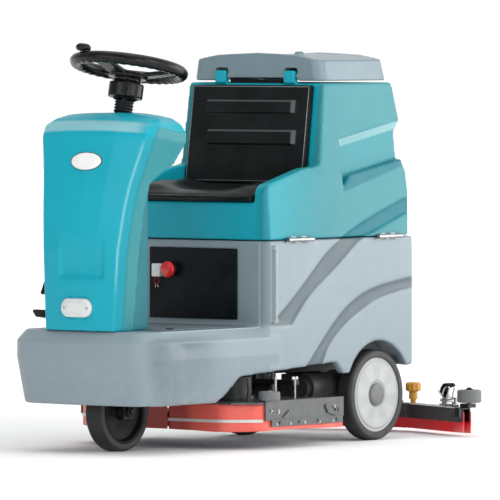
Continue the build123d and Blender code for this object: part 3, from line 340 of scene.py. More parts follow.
def smoothed(made, rounds, body, material, name, node):
    """The finished piece, smoothed, in the node's place."""
    soft = made.modifiers.new("soften", "SMOOTH")
    soft.factor = 0.5
    soft.iterations = rounds
    piece = baked(made, body, material, name)
    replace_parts(piece, node)
    return piece


def shell(node, body, material, voxel=0.0045, rounds=5, shape=None, thicken=None):
    """Moulded version of a CAD node: its corners are rounded by remeshing and smoothing.

    thicken moves the node's own corners first, where a wall is too thin for the voxels.
    """
    made = loose(f"{node}_copy", welded(node))
    if thicken:
        for v in made.data.vertices:
            v.co = thicken(v.co)
    even_out(made, voxel, shape)
    return smoothed(made, rounds, body, material, f"{node}_moulding", node)


def paint(piece, attribute, rule):
    """Float attribute on the mesh points; rule gives 0 to 1 from a point."""
    layer = piece.data.attributes.new(attribute, "FLOAT", "POINT")
    layer.data.foreach_set("value", [rule(v.co) for v in piece.data.vertices])


def islands(node):
    """The separate solids of a CAD node as a list of (centre, low, high, bmesh)."""
    bm = welded(node)
    left = set(bm.faces)
    found = []
    while left:
        seed = left.pop()
        group, edge = {seed}, [seed]
        while edge:
            for e in edge.pop().edges:
                for face in e.link_faces:
                    if face in left:
                        left.discard(face)
                        group.add(face)
                        edge.append(face)
        found.append(group)
    result = []
    for group in found:
        part = bmesh.new()
        key = {}
        for face in group:
            corners = []
            for v in face.verts:
                if v.index not in key:
                    key[v.index] = part.verts.new(v.co)
                corners.append(key[v.index])
            part.faces.new(corners)
        points = [v.co for v in part.verts]
        low = Vector([min(p[i] for p in points) for i in range(3)])
        high = Vector([max(p[i] for p in points) for i in range(3)])
        result.append(((low + high) / 2, low, high, part))
    bm.free()
    return sorted(result, key=lambda r: -(r[2] - r[1]).length)


FLAT_ANGLE = math.radians(1.5)
CREASE_ANGLE = math.radians(34)


def edge_bevel(piece, width):
    """Flat faces are joined, then every crease gets a small rounded edge."""
    plain = piece.modifiers.new("join", "DECIMATE")
    plain.decimate_type = "DISSOLVE"
    plain.angle_limit = FLAT_ANGLE
    bevel = piece.modifiers.new("edges", "BEVEL")
    bevel.width = width
    bevel.segments = 2
    bevel.limit_method = "ANGLE"
    bevel.angle_limit = CREASE_ANGLE
    flat = piece.modifiers.new("flat", "WEIGHTED_NORMAL")
    flat.weight = 100
    flat.keep_sharp = True


def merged(parts):
    """One bmesh from several."""
    bm = bmesh.new()
    for part in parts:
        mesh = bpy.data.meshes.new("part")
        part.to_mesh(mesh)
        bm.from_mesh(mesh)
        bpy.data.meshes.remove(mesh)
    return bm


def split(node, body, picks, bevel=0.0006):
    """One piece per group of solids: picks are (piece name, material, test of centre, low, high)."""
    groups = {}
    for centre, low, high, part in islands(node):
        for name, material, test in picks:
            if test(centre, low, high):
                groups.setdefault((name, material), []).append(part)
                break
    for (name, material), parts in groups.items():
        piece = from_bmesh(name, merged(parts), body, material)
        edge_bevel(piece, bevel)
        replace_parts(piece, node)


def dense(node, name, body, material, shape, voxel, rounds, test):
    """The solids of a node that pass the test, remeshed finely so that they can be bent by shape."""
    bm = merged(part for centre, low, high, part in islands(node) if test(centre, low, high))
    bmesh.ops.recalc_face_normals(bm, faces=bm.faces)
    made = loose(name, bm)
    even_out(made, voxel, shape)
    return smoothed(made, rounds, body, material, name, node)


def axis_frame(axis, at):
    """Matrix that takes local Z to the axis and the origin to the point."""
    turn = Vector(UP).rotation_difference(Vector(axis).normalized())
    return Matrix.Translation(Vector(at)) @ turn.to_matrix().to_4x4()


def stitch(bm, rows, around=False):
    """Faces from each row of points to the next and back to the first; around closes the rows too."""
    for a, b in zip(rows, rows[1:] + rows[:1]):
        for j in range(len(a) if around else len(a) - 1):
            k = (j + 1) % len(a)
            bm.faces.new((a[j], b[j], b[k], a[k]))


def lathe_mesh(bm, profile, axis, at, steps=96, wave=None):
    """Turned solid: profile is a list of (radius, height) along the axis."""
    place = axis_frame(axis, at)
    rings = []
    for i in range(steps):
        angle = i * math.tau / steps
        ring = []
        for radius, height in profile:
            reach = radius + (wave(angle, radius, height) if wave else 0)
            point = Vector((reach * math.cos(angle), reach * math.sin(angle), height))
            ring.append(bm.verts.new(place @ point))
        rings.append(ring)
    stitch(bm, rings)


def lathe(name, profile, axis, at, body, material, steps=96, wave=None, closed=False):
    bm = bmesh.new()
    if closed:
        profile = list(profile) + [profile[0]]
    lathe_mesh(bm, profile, axis, at, steps, wave)
    bmesh.ops.remove_doubles(bm, verts=bm.verts, dist=WELD / 2)
    return from_bmesh(name, bm, body, material)


def rounded(points, radius, steps=4):
    """Open profile with its inner corners rounded off."""
    result = [points[0]]
    for before, corner, after in zip(points, points[1:], points[2:]):
        b, c, a = Vector(before), Vector(corner), Vector(after)
        cut = min(radius, (b - c).length * 0.45, (a - c).length * 0.45)
        start = c + (b - c).normalized() * cut
        end = c + (a - c).normalized() * cut
        for i in range(steps + 1):
            t = i / steps
            result.append(tuple(start * (1 - t) ** 2 + c * 2 * t * (1 - t) + end * t * t))
    result.append(points[-1])
    return result


def sweep(name, path, radius, body, material, sides=12, closed=False):
    """Round rod along a list of points."""
    curve = bpy.data.curves.new(name, "CURVE")
    curve.dimensions = "3D"
    line = curve.splines.new("POLY")
    line.points.add(len(path) - 1)
    for point, at in zip(line.points, path):
        point.co = (*at, 1)
    line.use_cyclic_u = closed
    curve.bevel_depth = radius
    curve.bevel_resolution = max(1, sides // 4)
    curve.use_fill_caps = True
    made = bpy.data.objects.new(name, curve)
    SCENE.collection.objects.link(made)
    return baked(made, body, material, name)


def bolts(name, places, axis, radius, height, body, material="steel"):
    """Hexagon heads with a chamfered top, each on a washer."""
    under, over = height * 0.25, height * 0.85
    washer = [(POLE, 0), (radius * 1.5, 0), (radius * 1.5, under), (POLE, under)]
    head = [(radius, under), (radius, over), (radius * 0.82, height), (POLE, height)]
    bm = bmesh.new()
    for at in places:
        for profile, steps in ((washer, 20), (head, 6)):
            lathe_mesh(bm, profile, axis, at, steps)
    bmesh.ops.remove_doubles(bm, verts=bm.verts, dist=WELD / 2)
    return from_bmesh(name, bm, body, material, smooth=False)


def step(low, high, value):
    """Soft step from 0 at low to 1 at high; low may be the larger one."""
    t = min(1, max(0, (value - low) / (high - low)))
    return t * t * (3 - 2 * t)


def band(value, zero, one, one_end, zero_end):
    """1 from one to one_end, falling softly to 0 at zero and zero_end."""
    return step(zero, one, value) * step(zero_end, one_end, value)


def catmull(points, per=10):
    """Smooth line through the points."""
    pts = [points[0]] + list(points) + [points[-1]]
    result = []
    for a, b, c, d in zip(pts, pts[1:], pts[2:], pts[3:]):
        for i in range(per):
            t = i / per
            result.append(tuple(0.5 * (2 * q + (r - p) * t + (2 * p - 5 * q + 4 * r - s) * t * t
                                       + (3 * q - p - 3 * r + s) * t ** 3)
                                for p, q, r, s in zip(a, b, c, d)))
    result.append(points[-1])
    return result


# ---- cord: key lanyard ----
KEY_X = -0.128
CORD_Y = -0.2365
CORD_RADIUS = 0.00075
LANYARD = [(0.006, 0.489), (0.006, 0.4825), (0.0078, 0.476), (0.0065, 0.469), (0, 0.4635), (-0.0065, 0.469),
           (-0.0078, 0.476), (-0.006, 0.4825), (-0.006, 0.489)]


def make_lanyard():
    curve = bpy.data.curves.new("lanyard_cord", "CURVE")
    curve.dimensions = "3D"
    line = curve.splines.new("NURBS")
    line.points.add(len(LANYARD) - 1)
    for point, (x, z) in zip(line.points, LANYARD):
        point.co = (KEY_X + x, CORD_Y, z, 1)
    line.order_u = 3
    line.use_endpoint_u = True
    curve.bevel_depth = CORD_RADIUS
    curve.bevel_resolution = 4
    curve.resolution_u = 12
    curve.use_fill_caps = True
    curve.materials.append(MAT["cord"])
    made = bpy.data.objects.new("lanyard_cord", curve)
    SCENE.collection.objects.link(made)
    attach(made, "root")
    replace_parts(made, "key_lanyard")
    return made


lanyard = make_lanyard()

# ---- lower body ----
SWOOSH_A = ([(-0.216, 0.351), (-0.105, 0.426), (-0.011, 0.500), (0.076, 0.566), (0.219, 0.634),
             (0.414, 0.700), (0.540, 0.735)],
            [(-0.104, 0.353), (-0.013, 0.438), (0.108, 0.513), (0.225, 0.589), (0.305, 0.616), (0.434, 0.657),
             (0.540, 0.690)])
SWOOSH_B = ([(-0.060, 0.205), (0.024, 0.285), (0.108, 0.361), (0.196, 0.417), (0.311, 0.454), (0.540, 0.485)],
            [(0.030, 0.205), (0.074, 0.284), (0.152, 0.345), (0.250, 0.393), (0.346, 0.424), (0.540, 0.452)])
SWOOSHES = [[catmull(line, 8) for line in pair] for pair in (SWOOSH_A, SWOOSH_B)]


def height_on(line, y):
    for (y0, z0), (y1, z1) in zip(line, line[1:]):
        if y0 <= y <= y1:
            return z0 + (z1 - z0) * (y - y0) / max(1e-6, y1 - y0)
    return None


def in_swoosh(y, z):
    """1 between a groove's two curves, softly falling to 0 at its edges."""
    best = 0
    for upper, lower in SWOOSHES:
        top = height_on(upper, y)
        low = height_on(lower, y)
        if top is None:
            continue
        if low is None:
            low = lower[0][1] if y < lower[0][0] else lower[-1][1]
        best = max(best, step(-0.003, 0.003, top - z) * step(-0.003, 0.003, z - low))
    return best


def groove_painted_shade(p):
    """Painted shade on the groove floors, and on the turned corner at the front of the seat box."""
    side = step(0.235, 0.245, abs(p.x))
    corner = 0.55 * step(0.243, 0.248, abs(p.x)) * step(-0.203, -0.208, p.y) * step(0.345, 0.365, p.z)
    return max(side * in_swoosh(p.y, p.z), corner * (p.y > -0.235))


FOLD_TOP, FOLD_FOOT = (-0.651, 0.320), (-0.614, 0.146)   # soft fold on each side of the bumper, (y, z)
FOLD_DEPTH = 0.006
ARCH_R = 0.1575
REAR_AXLE = (0.320, 0.134)


def body_shape(p):
    """Soft fold down each side of the bumper."""
    q = p.copy()
    if p.y < -0.30 and p.z < FOLD_TOP[1] + 0.002 and abs(p.x) > 0.2:
        t = (FOLD_TOP[1] - p.z) / (FOLD_TOP[1] - FOLD_FOOT[1])
        fold_y = FOLD_TOP[0] + (FOLD_FOOT[0] - FOLD_TOP[0]) * t
        behind = step(0, 0.05, p.y - fold_y) * step(-0.46, -0.56, p.y)
        q.x -= math.copysign(FOLD_DEPTH * behind * step(0.322, 0.30, p.z), p.x)
    return q


body = shell("lower_body", "root", "grey", 0.005, 5, shape=body_shape)


def body_painted_shade(p):
    """Painted shade: the groove floors, the arch lips and the sides of the nose are darker."""
    lip = 0
    if abs(p.x) > 0.19:
        radius = math.hypot(p.y - REAR_AXLE[0], p.z - REAR_AXLE[1])
        lip = 0.75 * step(ARCH_R + 0.010, ARCH_R, radius) * (p.z > 0.19)
    nose = 0.50 * step(0.225, 0.258, abs(p.x)) * step(-0.34, -0.62, p.y) * step(0.345, 0.325, p.z)
    return max(groove_painted_shade(p), lip, nose)


def body_painted_highlight(p):
    """Painted highlight lines along the platform's edge and up the front corners of the seat box."""
    reach = abs(p.x)
    edge = band(reach, 0.2375, 0.2400, 0.2435, 0.2460) * band(p.z, 0.347, 0.349, 0.352, 0.354)
    edge *= band(p.y, -0.70, -0.66, -0.235, -0.228)
    corner = band(reach, 0.2375, 0.2395, 0.2415, 0.2430) * step(-0.218, -0.224, p.y)
    corner *= step(0.352, 0.362, p.z) * step(-0.240, -0.232, p.y)
    return 0.8 * max(edge, corner)


# Painted shade, then painted highlights, on the lower body.
paint(body, "painted_shade", body_painted_shade)
paint(body, "pale", body_painted_highlight)

# ---- column ----
POCKET_X = (-0.070, 0.087)
POCKET_Z = (0.500, 0.640)
POCKET_DEPTH = 0.011


def top_arch(p):
    """How far the column's shoulder rises in the middle and falls at its sides, more so at its rear."""
    x = max(-0.2, min(0.2, p.x))
    return 0.007 - (0.006 + 0.013 * step(-0.67, -0.54, p.y)) * (x / 0.17) ** 2


def column_shape(p):
    """Arched shoulder, and a shallow pocket above the lamp that runs out upward."""
    q = p.copy()
    q.z += top_arch(p) * step(0.80, 0.935, p.z)
    if p.y < -0.74 and 0.45 < p.z < 0.70:
        left, right = POCKET_X
        across = band(p.x, left - 0.006, left + 0.010, right - 0.006, right + 0.006)
        ledge = step(POCKET_Z[0] - 0.004, POCKET_Z[0] + 0.012, p.z)
        fade = step(POCKET_Z[1], POCKET_Z[0] + 0.03, p.z)
        q.y += POCKET_DEPTH * across * ledge * fade
    return q


front = shell("column_front_cover", "root", "teal", 0.004, 4, shape=column_shape)
CREASE_AT = [(0.351, 0.121), (0.583, 0.134), (0.697, 0.146), (0.770, 0.156), (0.827, 0.168), (0.903, 0.186)]


def crease_x(z):
    """Half width of the column's front face at this height."""
    for (z0, x0), (z1, x1) in zip(CREASE_AT, CREASE_AT[1:]):
        if z <= z1:
            return x0 + (x1 - x0) * (z - z0) / (z1 - z0)
    return CREASE_AT[-1][1]


def column_painted_highlight(p):
    """Painted highlight: a band where the face turns over to the top, and a line along each crease."""
    level = p.z - top_arch(p)
    turn = 0.70 * band(level, 0.912, 0.917, 0.939, 0.946) * step(-0.62, -0.66, p.y)
    turn *= step(0.20, 0.14, p.x)
    line = 0.5 * step(0.0030, 0.0014, abs(abs(p.x) - crease_x(p.z) - 0.001)) * step(0.42, 0.56, p.z)
    line *= step(0.90, 0.86, p.z)
    return max(turn, line * (p.y < -0.69))


def column_bevel(p):
    """The bevel between the face and the side lies in its own shade."""
    out = abs(p.x) - crease_x(p.z)
    return 0.35 * band(out, 0.003, 0.006, 0.017, 0.0205) * step(0.92, 0.89, p.z)


# Painted shade on the column's side faces.
def column_side_shade(p):
    return step(0.0165, 0.0195, abs(p.x) - crease_x(p.z))


# Painted highlights, painted shade in the bevel, and painted shade on the side faces of the column.
paint(front, "pale", column_painted_highlight)
paint(front, "painted_shade", column_bevel)
paint(front, "side", column_side_shade)
# The rear cover is the teal with painted shade.
shell("column_rear_cover", "root", "teal_shaded", 0.004, 3)

# ---- lamp and badge, shaped to the column's front face ----
FRONT_TREE = BVHTree.FromObject(front, bpy.context.evaluated_depsgraph_get())


def front_y(x, z):
    """Y of the column's front face at this point."""
    hit = FRONT_TREE.ray_cast(Vector((x, -1.0, z)), Vector((0, 1, 0)))
    return hit[0].y if hit[0] else -0.70


def stadium(half_width, half_height, count=64):
    """Outline of a stadium-shaped plate in (x, z)."""
    reach = half_width - half_height
    points = []
    for i in range(count):
        angle = i * math.tau / count
        points.append((math.copysign(reach, math.cos(angle)) + half_height * math.cos(angle),
                       half_height * math.sin(angle)))
    return points


def ellipse(half_width, half_height, count=64):
    return [(half_width * math.cos(i * math.tau / count), half_height * math.sin(i * math.tau / count))
            for i in range(count)]


PLATE_SUNK = 0.002       # how far a plate's edge runs into the face behind it


def face_plate(name, outline, at, rings, material):
    """Plate that follows the column's face: rings are (scale of the outline, height off the face)."""
    bm = bmesh.new()
    loops = []
    for scale, lift in [(rings[0][0], -PLATE_SUNK)] + rings:
        loop = []
        for x, z in outline:
            px, pz = at[0] + x * scale, at[1] + z * scale
            loop.append(bm.verts.new((px, front_y(px, pz) - lift, pz)))
        loops.append(loop)
    for a, b in zip(loops, loops[1:]):
        for i in range(len(a)):
            j = (i + 1) % len(a)
            bm.faces.new((a[i], a[j], b[j], b[i]))
    bm.faces.new(loops[-1])
    return from_bmesh(name, bm, "root", material)


LAMP_AT = (0, 0.417)
BADGE_AT = (0, 0.834)
face_plate("lamp_surround", stadium(0.062, 0.034), LAMP_AT,
           [(1.0, 0.0006), (0.97, 0.0022), (0.93, 0.0022), (0.91, 0.0008)], "teal")
lamp = face_plate("lamp_plate", stadium(0.055, 0.027), LAMP_AT,
                  [(1.0, 0.0005), (0.985, 0.0062), (0.95, 0.0078), (0.72, 0.0088), (0.3, 0.0092)], "lamp")
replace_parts(lamp, "headlamp")


def soft_box(name, low, high, radius, body, material):
    """Box with rounded edges between two corners."""
    bm = bmesh.new()
    bmesh.ops.create_cube(bm, size=1)
    size = Vector(high) - Vector(low)
    middle = (Vector(high) + Vector(low)) / 2
    for v in bm.verts:
        v.co = Vector([v.co[i] * size[i] for i in range(3)]) + middle
    bmesh.ops.bevel(bm, geom=list(bm.edges), offset=radius, segments=3, affect="EDGES", profile=0.5)
    piece = from_bmesh(name, bm, body, material)
    piece.modifiers.new("flat", "WEIGHTED_NORMAL").weight = 100
    return piece


LAMP_Y = front_y(0, LAMP_AT[1]) - 0.0088
soft_box("lamp_lens", (-0.024, LAMP_Y - 0.0012, 0.402), (0.024, LAMP_Y + 0.003, 0.432), 0.0012, "root",
         "lens")
bolts("lamp_screws", [(x, LAMP_Y + 0.0016, LAMP_AT[1]) for x in (-0.041, 0.041)], FORWARD, 0.0024, 0.0022,
      "root", "alloy")
face_plate("badge_rim", ellipse(0.0575, 0.0265), BADGE_AT,
           [(1.0, 0.0004), (0.985, 0.0020), (0.955, 0.0022), (0.94, 0.0010)], "outline")
badge = face_plate("badge_disc", ellipse(0.054, 0.0245), BADGE_AT,
                   [(1.0, 0.0003), (0.985, 0.0024), (0.93, 0.0032), (0.5, 0.0036)], "white")
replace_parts(badge, "badge_plate")

# ---- steering wheel ----
TILT = math.radians(12)
WHEEL_C = Vector((0, -0.5276, 1.0996))
AXIS = Vector((0, math.sin(TILT), math.cos(TILT)))
WHEEL = Matrix.Translation(WHEEL_C) @ Matrix.Rotation(-TILT, 4, "X")
RIM_R, TUBE_R = 0.1535, 0.0175


def grip_ripple(angle, turn):
    """Finger grips on the underside of the rim."""
    under = max(0, -math.sin(turn)) ** 2
    return 0.0008 * under * math.sin(angle * 36)


def make_rim():
    bm = bmesh.new()
    around, sides = 180, 28
    rows = []
    for i in range(around):
        angle = i * math.tau / around
        row = []
        for j in range(sides):
            turn = j * math.tau / sides
            r = TUBE_R + grip_ripple(angle, turn)
            reach = RIM_R + r * math.cos(turn)
            at = (reach * math.cos(angle), reach * math.sin(angle), r * math.sin(turn))
            row.append(bm.verts.new(WHEEL @ Vector(at)))
        rows.append(row)
    stitch(bm, rows, around=True)
    piece = from_bmesh("wheel_rim_grip", bm, "steering_wheel", "wheel")
    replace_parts(piece, "steering_wheel_rim")


make_rim()
KNOB_BASE = WHEEL @ Vector((-0.058, -0.145, 0))
SPINNER_POST = [(POLE, 0.008), (0.0085, 0.008), (0.0078, 0.0175), (0.0045, 0.0182), (0.0040, 0.025), (POLE, 0.025)]
SPINNER_CAP = [(0.0043, 0.0192), (0.0180, 0.0192), (0.0220, 0.0245), (0.0220, 0.031), (0.0165, 0.0384),
               (POLE, 0.0392)]
lathe("spinner_post", rounded(SPINNER_POST, 0.001), AXIS, KNOB_BASE, "steering_wheel", "steel", 32)
knob = lathe("spinner_cap", rounded(SPINNER_CAP, 0.004, 6), AXIS, KNOB_BASE, "spinner", "wheel", 48)
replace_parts(knob, "spinner_knob")
shell("steering_wheel_spokes", "steering_wheel", "wheel", 0.0028, 3)
WHEEL_CAP = [(POLE, -0.021), (0.034, -0.0215), (0.030, -0.0165), (0.012, -0.0145), (POLE, -0.0145)]
CAP_RING = [(0.0305, -0.0175), (0.0325, -0.0162), (0.0335, -0.0178)]
lathe("hub_cap", rounded(WHEEL_CAP, 0.002), AXIS, WHEEL_C, "steering_wheel", "wheel", 64)
lathe("hub_ring", CAP_RING, AXIS, WHEEL_C, "steering_wheel", "alloy", 64, closed=True)


def boot_profile():
    """Rubber boot under the wheel: four rounded folds around a sleeve."""
    inner, outer, folds, steps = 0.0205, 0.0262, 4, 8
    low, high = -0.134, -0.0975
    points = [(inner, low)]
    for i in range(folds * steps + 1):
        z = low + (high - low) * i / (folds * steps)
        points.append((outer + 0.0018 * math.sin(i * math.tau / steps - math.pi / 2), z))
    points.append((inner, high))
    return points


boot = lathe("column_boot", boot_profile(), AXIS, WHEEL_C, "root", "boot", 72, closed=True)
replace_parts(boot, "steering_bellows")

# ---- seat ----
SEAT_HALF = 0.216


def seat_shape(p):
    """Dished cushion: a hollow in the middle, raised sides, the front edge rolled over."""
    q = p.copy()
    top = step(0.728, 0.748, p.z)
    across = abs(p.x) / SEAT_HALF
    bolster = band(across, 0.52, 0.86, 0.93, 1.02)
    along = band(p.y, -0.232, -0.17, -0.06, 0.01)
    q.z += top * (0.013 * bolster * step(-0.22, -0.13, p.y) - 0.012 * (1 - step(0.30, 0.80, across)) * along)
    q.z -= 0.024 * top * step(-0.180, -0.236, p.y)
    return q


CLOTH_FRAMES = 14


def upholster(node, name, shape, pressure, limit, voxel, rounds):
    """The cover is inflated over the pad by a short cloth simulation, its travel capped at the limit."""
    made = loose(f"{node}_copy", welded(node))
    even_out(made, voxel, shape)
    mesh = made.data
    rest = [v.co.copy() for v in mesh.vertices]
    cloth = made.modifiers.new("cover", "CLOTH")
    cloth.settings.use_pressure = True
    cloth.settings.uniform_pressure_force = pressure
    cloth.settings.effector_weights.gravity = 0
    cloth.settings.tension_stiffness = 30
    cloth.settings.compression_stiffness = 30
    cloth.settings.quality = 4
    cloth.point_cache.frame_start = 1
    cloth.point_cache.frame_end = CLOTH_FRAMES
    for number in range(1, CLOTH_FRAMES + 1):
        SCENE.frame_set(number)
    blown = final_mesh(made)
    made.modifiers.clear()
    SCENE.frame_set(1)
    for v, home, puffed in zip(mesh.vertices, rest, blown.vertices):
        move = puffed.co - home
        v.co = home + (move * (limit / move.length) if move.length > limit else move)
    piece = smoothed(made, rounds, "upper_tank", "vinyl", name, node)
    piece.modifiers.new("fine", "SUBSURF").render_levels = 1
    return piece


upholster("seat_cushion", "seat_cover", seat_shape, 3, 0.004, voxel=0.005, rounds=5)

# backrest: a moulded panel with two raised bars
RIBS = [(-0.154, 0.170, 0.964, 1.001), (-0.144, 0.179, 0.873, 0.914)]
RIB_PROUD = 0.011
BACK_FACE = ((0.009, 0.762), (0.0495, 1.044))


def back_face(z):
    """Y of the backrest's front face at this height."""
    (y0, z0), (y1, z1) = BACK_FACE
    return y0 + (y1 - y0) * (z - z0) / (z1 - z0)


def pad_shape(p):
    q = p.copy()
    if p.y < back_face(p.z) + 0.006:
        for x0, x1, z0, z1 in RIBS:
            across = band(p.x, x0 - 0.003, x0 + 0.003, x1 - 0.010, x1 + 0.003)
            q.y -= RIB_PROUD * across * band(p.z, z0 - 0.002, z0 + 0.002, z1 - 0.002, z1 + 0.002)
    return q


backrest = upholster("backrest_pad", "backrest_cover", pad_shape, 0.3, 0.0004, voxel=0.0026, rounds=1)


def rib_painted_highlight(p):
    """Painted highlight on the bars' upper edges and left ends."""
    if p.y > back_face(p.z) - 0.002:
        return 0.0
    rib_highlight = 0.0
    for x0, x1, z0, z1 in RIBS:
        top = band(p.x, x0, x0 + 0.004, x1, x1 + 0.004)
        top *= band(p.z, z1 - 0.0045, z1 - 0.002, z1 + 0.002, z1 + 0.004)
        end = band(p.x, x1 - 0.012, x1 - 0.009, x1 + 0.003, x1 + 0.006)
        end *= band(p.z, z0 - 0.002, z0 + 0.002, z1, z1 + 0.002)
        rib_highlight = max(rib_highlight, top, 0.8 * end)
    return rib_highlight


# Painted highlight on the backrest's bars.
paint(backrest, "rib_highlight", rib_painted_highlight)
PIPING = [(-0.212, 0.766), (0.212, 0.766), (0.2125, 0.90), (0.212, 1.041), (-0.212, 1.041), (-0.2125, 0.90)]
sweep("backrest_piping", [(x, back_face(z) + 0.0006, z) for x, z in PIPING], 0.0013, "upper_tank", "piping",
      sides=8, closed=True)

# ---- recovery tank and lid ----
WINDOW = [(0.138, 0.887), (0.480, 0.947), (0.500, 0.818), (0.153, 0.733)]   # the recess in each side, (y, z)
SIDE_FOOT = (0.266, 0.601)     # the tank's side face at its foot, (x, z), and how it leans in
SIDE_TAPER = 0.019 / 0.451
WINDOW_FLOOR_X = 0.235
HOLLOW_HALF = 0.232
WALL_GROWS = 0.006
WINDOW_SLOPE = 0.024     # width of the recess's sloping front and upper rim
WINDOW_INNER = [(0.163, 0.866), (0.540, 0.932), (0.540, 0.780), (0.177, 0.700)]


SOFT_EDGE = 0.003


def inside(polygon, p):
    """1 inside a convex outline in (y, z), falling to 0 across its edge."""
    return min(1.0, *(step(-SOFT_EDGE, SOFT_EDGE, edge_depth(a, b, p))
                      for a, b in zip(polygon, polygon[1:] + polygon[:1])))


def edge_depth(a, b, p):
    """Distance of a point behind the line from a to b in (y, z)."""
    along_y, along_z = b[0] - a[0], b[1] - a[1]
    return (along_y * (a[1] - p.z) - along_z * (a[0] - p.y)) / math.hypot(along_y, along_z)


def tank_shape(p):
    """The recess in each side slopes in from its front and upper edges."""
    reach = abs(p.x)
    surface = SIDE_FOOT[0] - SIDE_TAPER * (p.z - SIDE_FOOT[1])
    if reach < WINDOW_FLOOR_X - 0.002 or reach > surface - 0.001 or inside(WINDOW, p) < 0.5:
        return p
    depth = min(edge_depth(WINDOW[0], WINDOW[1], p), edge_depth(WINDOW[3], WINDOW[0], p))
    if depth > WINDOW_SLOPE:
        return p
    q = p.copy()
    q.x = math.copysign(max(reach, surface - (surface - WINDOW_FLOOR_X) * max(0, depth) / WINDOW_SLOPE), p.x)
    return q


def thick_wall(p):
    """The hollow's side faces stand further in from the recesses."""
    q = p.copy()
    if abs(abs(p.x) - HOLLOW_HALF) < 0.0004:
        q.x = math.copysign(HOLLOW_HALF - WALL_GROWS, p.x)
    return q


tank = shell("recovery_tank", "upper_tank", "teal", 0.0045, 4, shape=tank_shape, thicken=thick_wall)


def rise(p):
    """Height of a point above the slope of the recess's lower edge."""
    return p.z - 0.19 * (p.y - 0.187)


def window_rim(p):
    """The recess's sloping upper and front rim catches the light."""
    if abs(p.x) < WINDOW_FLOOR_X - 0.010:
        return 0.0
    rim = inside(WINDOW, p) * (1 - inside(WINDOW_INNER, p))
    return 0.85 * rim * step(0.772, 0.782, rise(p))


def window_floor(p):
    """The lower slope of the recess is in its own shade."""
    if abs(p.x) < WINDOW_FLOOR_X - 0.010:
        return 0.0
    return inside(WINDOW, p) * step(0.786, 0.776, rise(p))


def tank_side_shading(p):
    """The side faces behind the seat's front corner, for painted shade that is weaker towards the front."""
    return step(0.222, 0.240, abs(p.x)) * (0.45 + 0.55 * step(-0.22, 0.10, p.y))


def tank_painted_light(p):
    """Painted highlight on the window rims, and painted light that pales the side faces towards the rear."""
    fade = 0.10 * tank_side_shading(p) * step(-0.15, 0.25, p.y) * (1 - in_swoosh(p.y, p.z)) * (1 - window_floor(p))
    return max(window_rim(p), fade)


# Painted shade in the grooves and on the recess's lower slope, painted shade on the side faces, and painted
# highlights.
paint(tank, "painted_shade", lambda p: max(groove_painted_shade(p), window_floor(p)))
paint(tank, "side", tank_side_shading)
paint(tank, "pale", tank_painted_light)
LID_LOW_Z = 1.058
LID_LEAN = 0.16          # how far the lid's sides lean in for each metre of height
LID_RAISE = 0.008        # the lid's lower edge is cut back between its hinges


def lid_shape(p):
    """Dished middle, sides that lean in, and a front edge cut back between the hinges."""
    q = p.copy()
    if p.z > 1.10:
        q.z -= 0.004 * step(0.150, 0.115, abs(p.x)) * band(p.y, 0.085, 0.12, 0.36, 0.395)
    if p.z > LID_LOW_Z - 0.001:
        lean = (p.z - LID_LOW_Z) * LID_LEAN
        q.z += LID_RAISE * step(0.104, 0.100, abs(p.x)) * step(0.110, 0.100, p.y) * step(1.085, 1.062, p.z)
        q.x -= math.copysign(lean * step(0.15, 0.24, abs(p.x)), p.x)
        q.y -= lean * 1.1 * step(0.30, 0.40, p.y)
    return q


shell("tank_lid", "lid", "lid", 0.004, 4, shape=lid_shape)
soft_box("lid_seal", (-0.099, 0.076, 1.0515), (0.099, 0.084, 1.0620), 0.0012, "upper_tank", "seal")

# ---- rear wheels ----
REAR_R, RIM_DISC_R = 0.134, 0.110
OUT_X, WIDTH = 0.260, 0.054    # outer face of the wheel and the tyre's width
TYRE_SHOULDER = 0.008


def make_tyre(name, at, radius, inner, width, body, node):
    """Tyre with rounded shoulders; its tread is darker than its wall."""
    half = width / 2
    flank = radius - TYRE_SHOULDER
    outline = [(inner, -half + 0.001), (inner + 0.004, -half), (flank, -half),
               (radius, -half + TYRE_SHOULDER), (radius, half - TYRE_SHOULDER), (flank, half),
               (inner + 0.004, half), (inner, half - 0.001)]
    piece = lathe(name, rounded(outline, 0.004), LEFTWARD, at, body, "tyre", 144, closed=True)
    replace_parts(piece, node)

    def tread(p):
        return step(radius - 0.009, radius - 0.004, math.hypot(p.y - at[1], p.z - at[2]))

    paint(piece, "tread", tread)


DISC_FACE = OUT_X - 0.0015
DISC = rounded([(POLE, DISC_FACE - 0.004), (0.036, DISC_FACE - 0.004), (0.044, DISC_FACE + 0.0005),
                (0.070, DISC_FACE - 0.0015), (0.096, DISC_FACE + 0.0005), (0.102, DISC_FACE - 0.004),
                (0.1095, DISC_FACE - 0.0025), (0.1095, DISC_FACE - 0.010), (0.100, DISC_FACE - 0.014),
                (POLE, DISC_FACE - 0.014)], 0.002)
CAP = rounded([(POLE, OUT_X + 0.0035), (0.024, OUT_X + 0.0030), (0.0325, OUT_X + 0.0005),
               (0.0345, OUT_X - 0.005), (POLE, OUT_X - 0.005)], 0.002)
BARREL = [(0.109, OUT_X - 0.012), (0.109, OUT_X - WIDTH + 0.004), (0.102, OUT_X - WIDTH + 0.002),
          (0.100, OUT_X - 0.012)]
SPINDLE = rounded([(POLE, OUT_X - 0.010), (0.030, OUT_X - 0.012), (0.028, OUT_X - WIDTH),
                   (0.0125, OUT_X - WIDTH - 0.004), (0.0125, 0.070), (POLE, 0.070)], 0.001)


def facet(p):
    """Seven flat petals on the wheel disc, between its hub and its rim."""
    y, z = p.y - REAR_AXLE[0], p.z - REAR_AXLE[1]
    petal = 0.5 + 0.5 * math.sin(math.atan2(z, y) * 7)
    return step(0.35, 0.65, petal) * band(math.hypot(y, z), 0.042, 0.048, 0.092, 0.097)


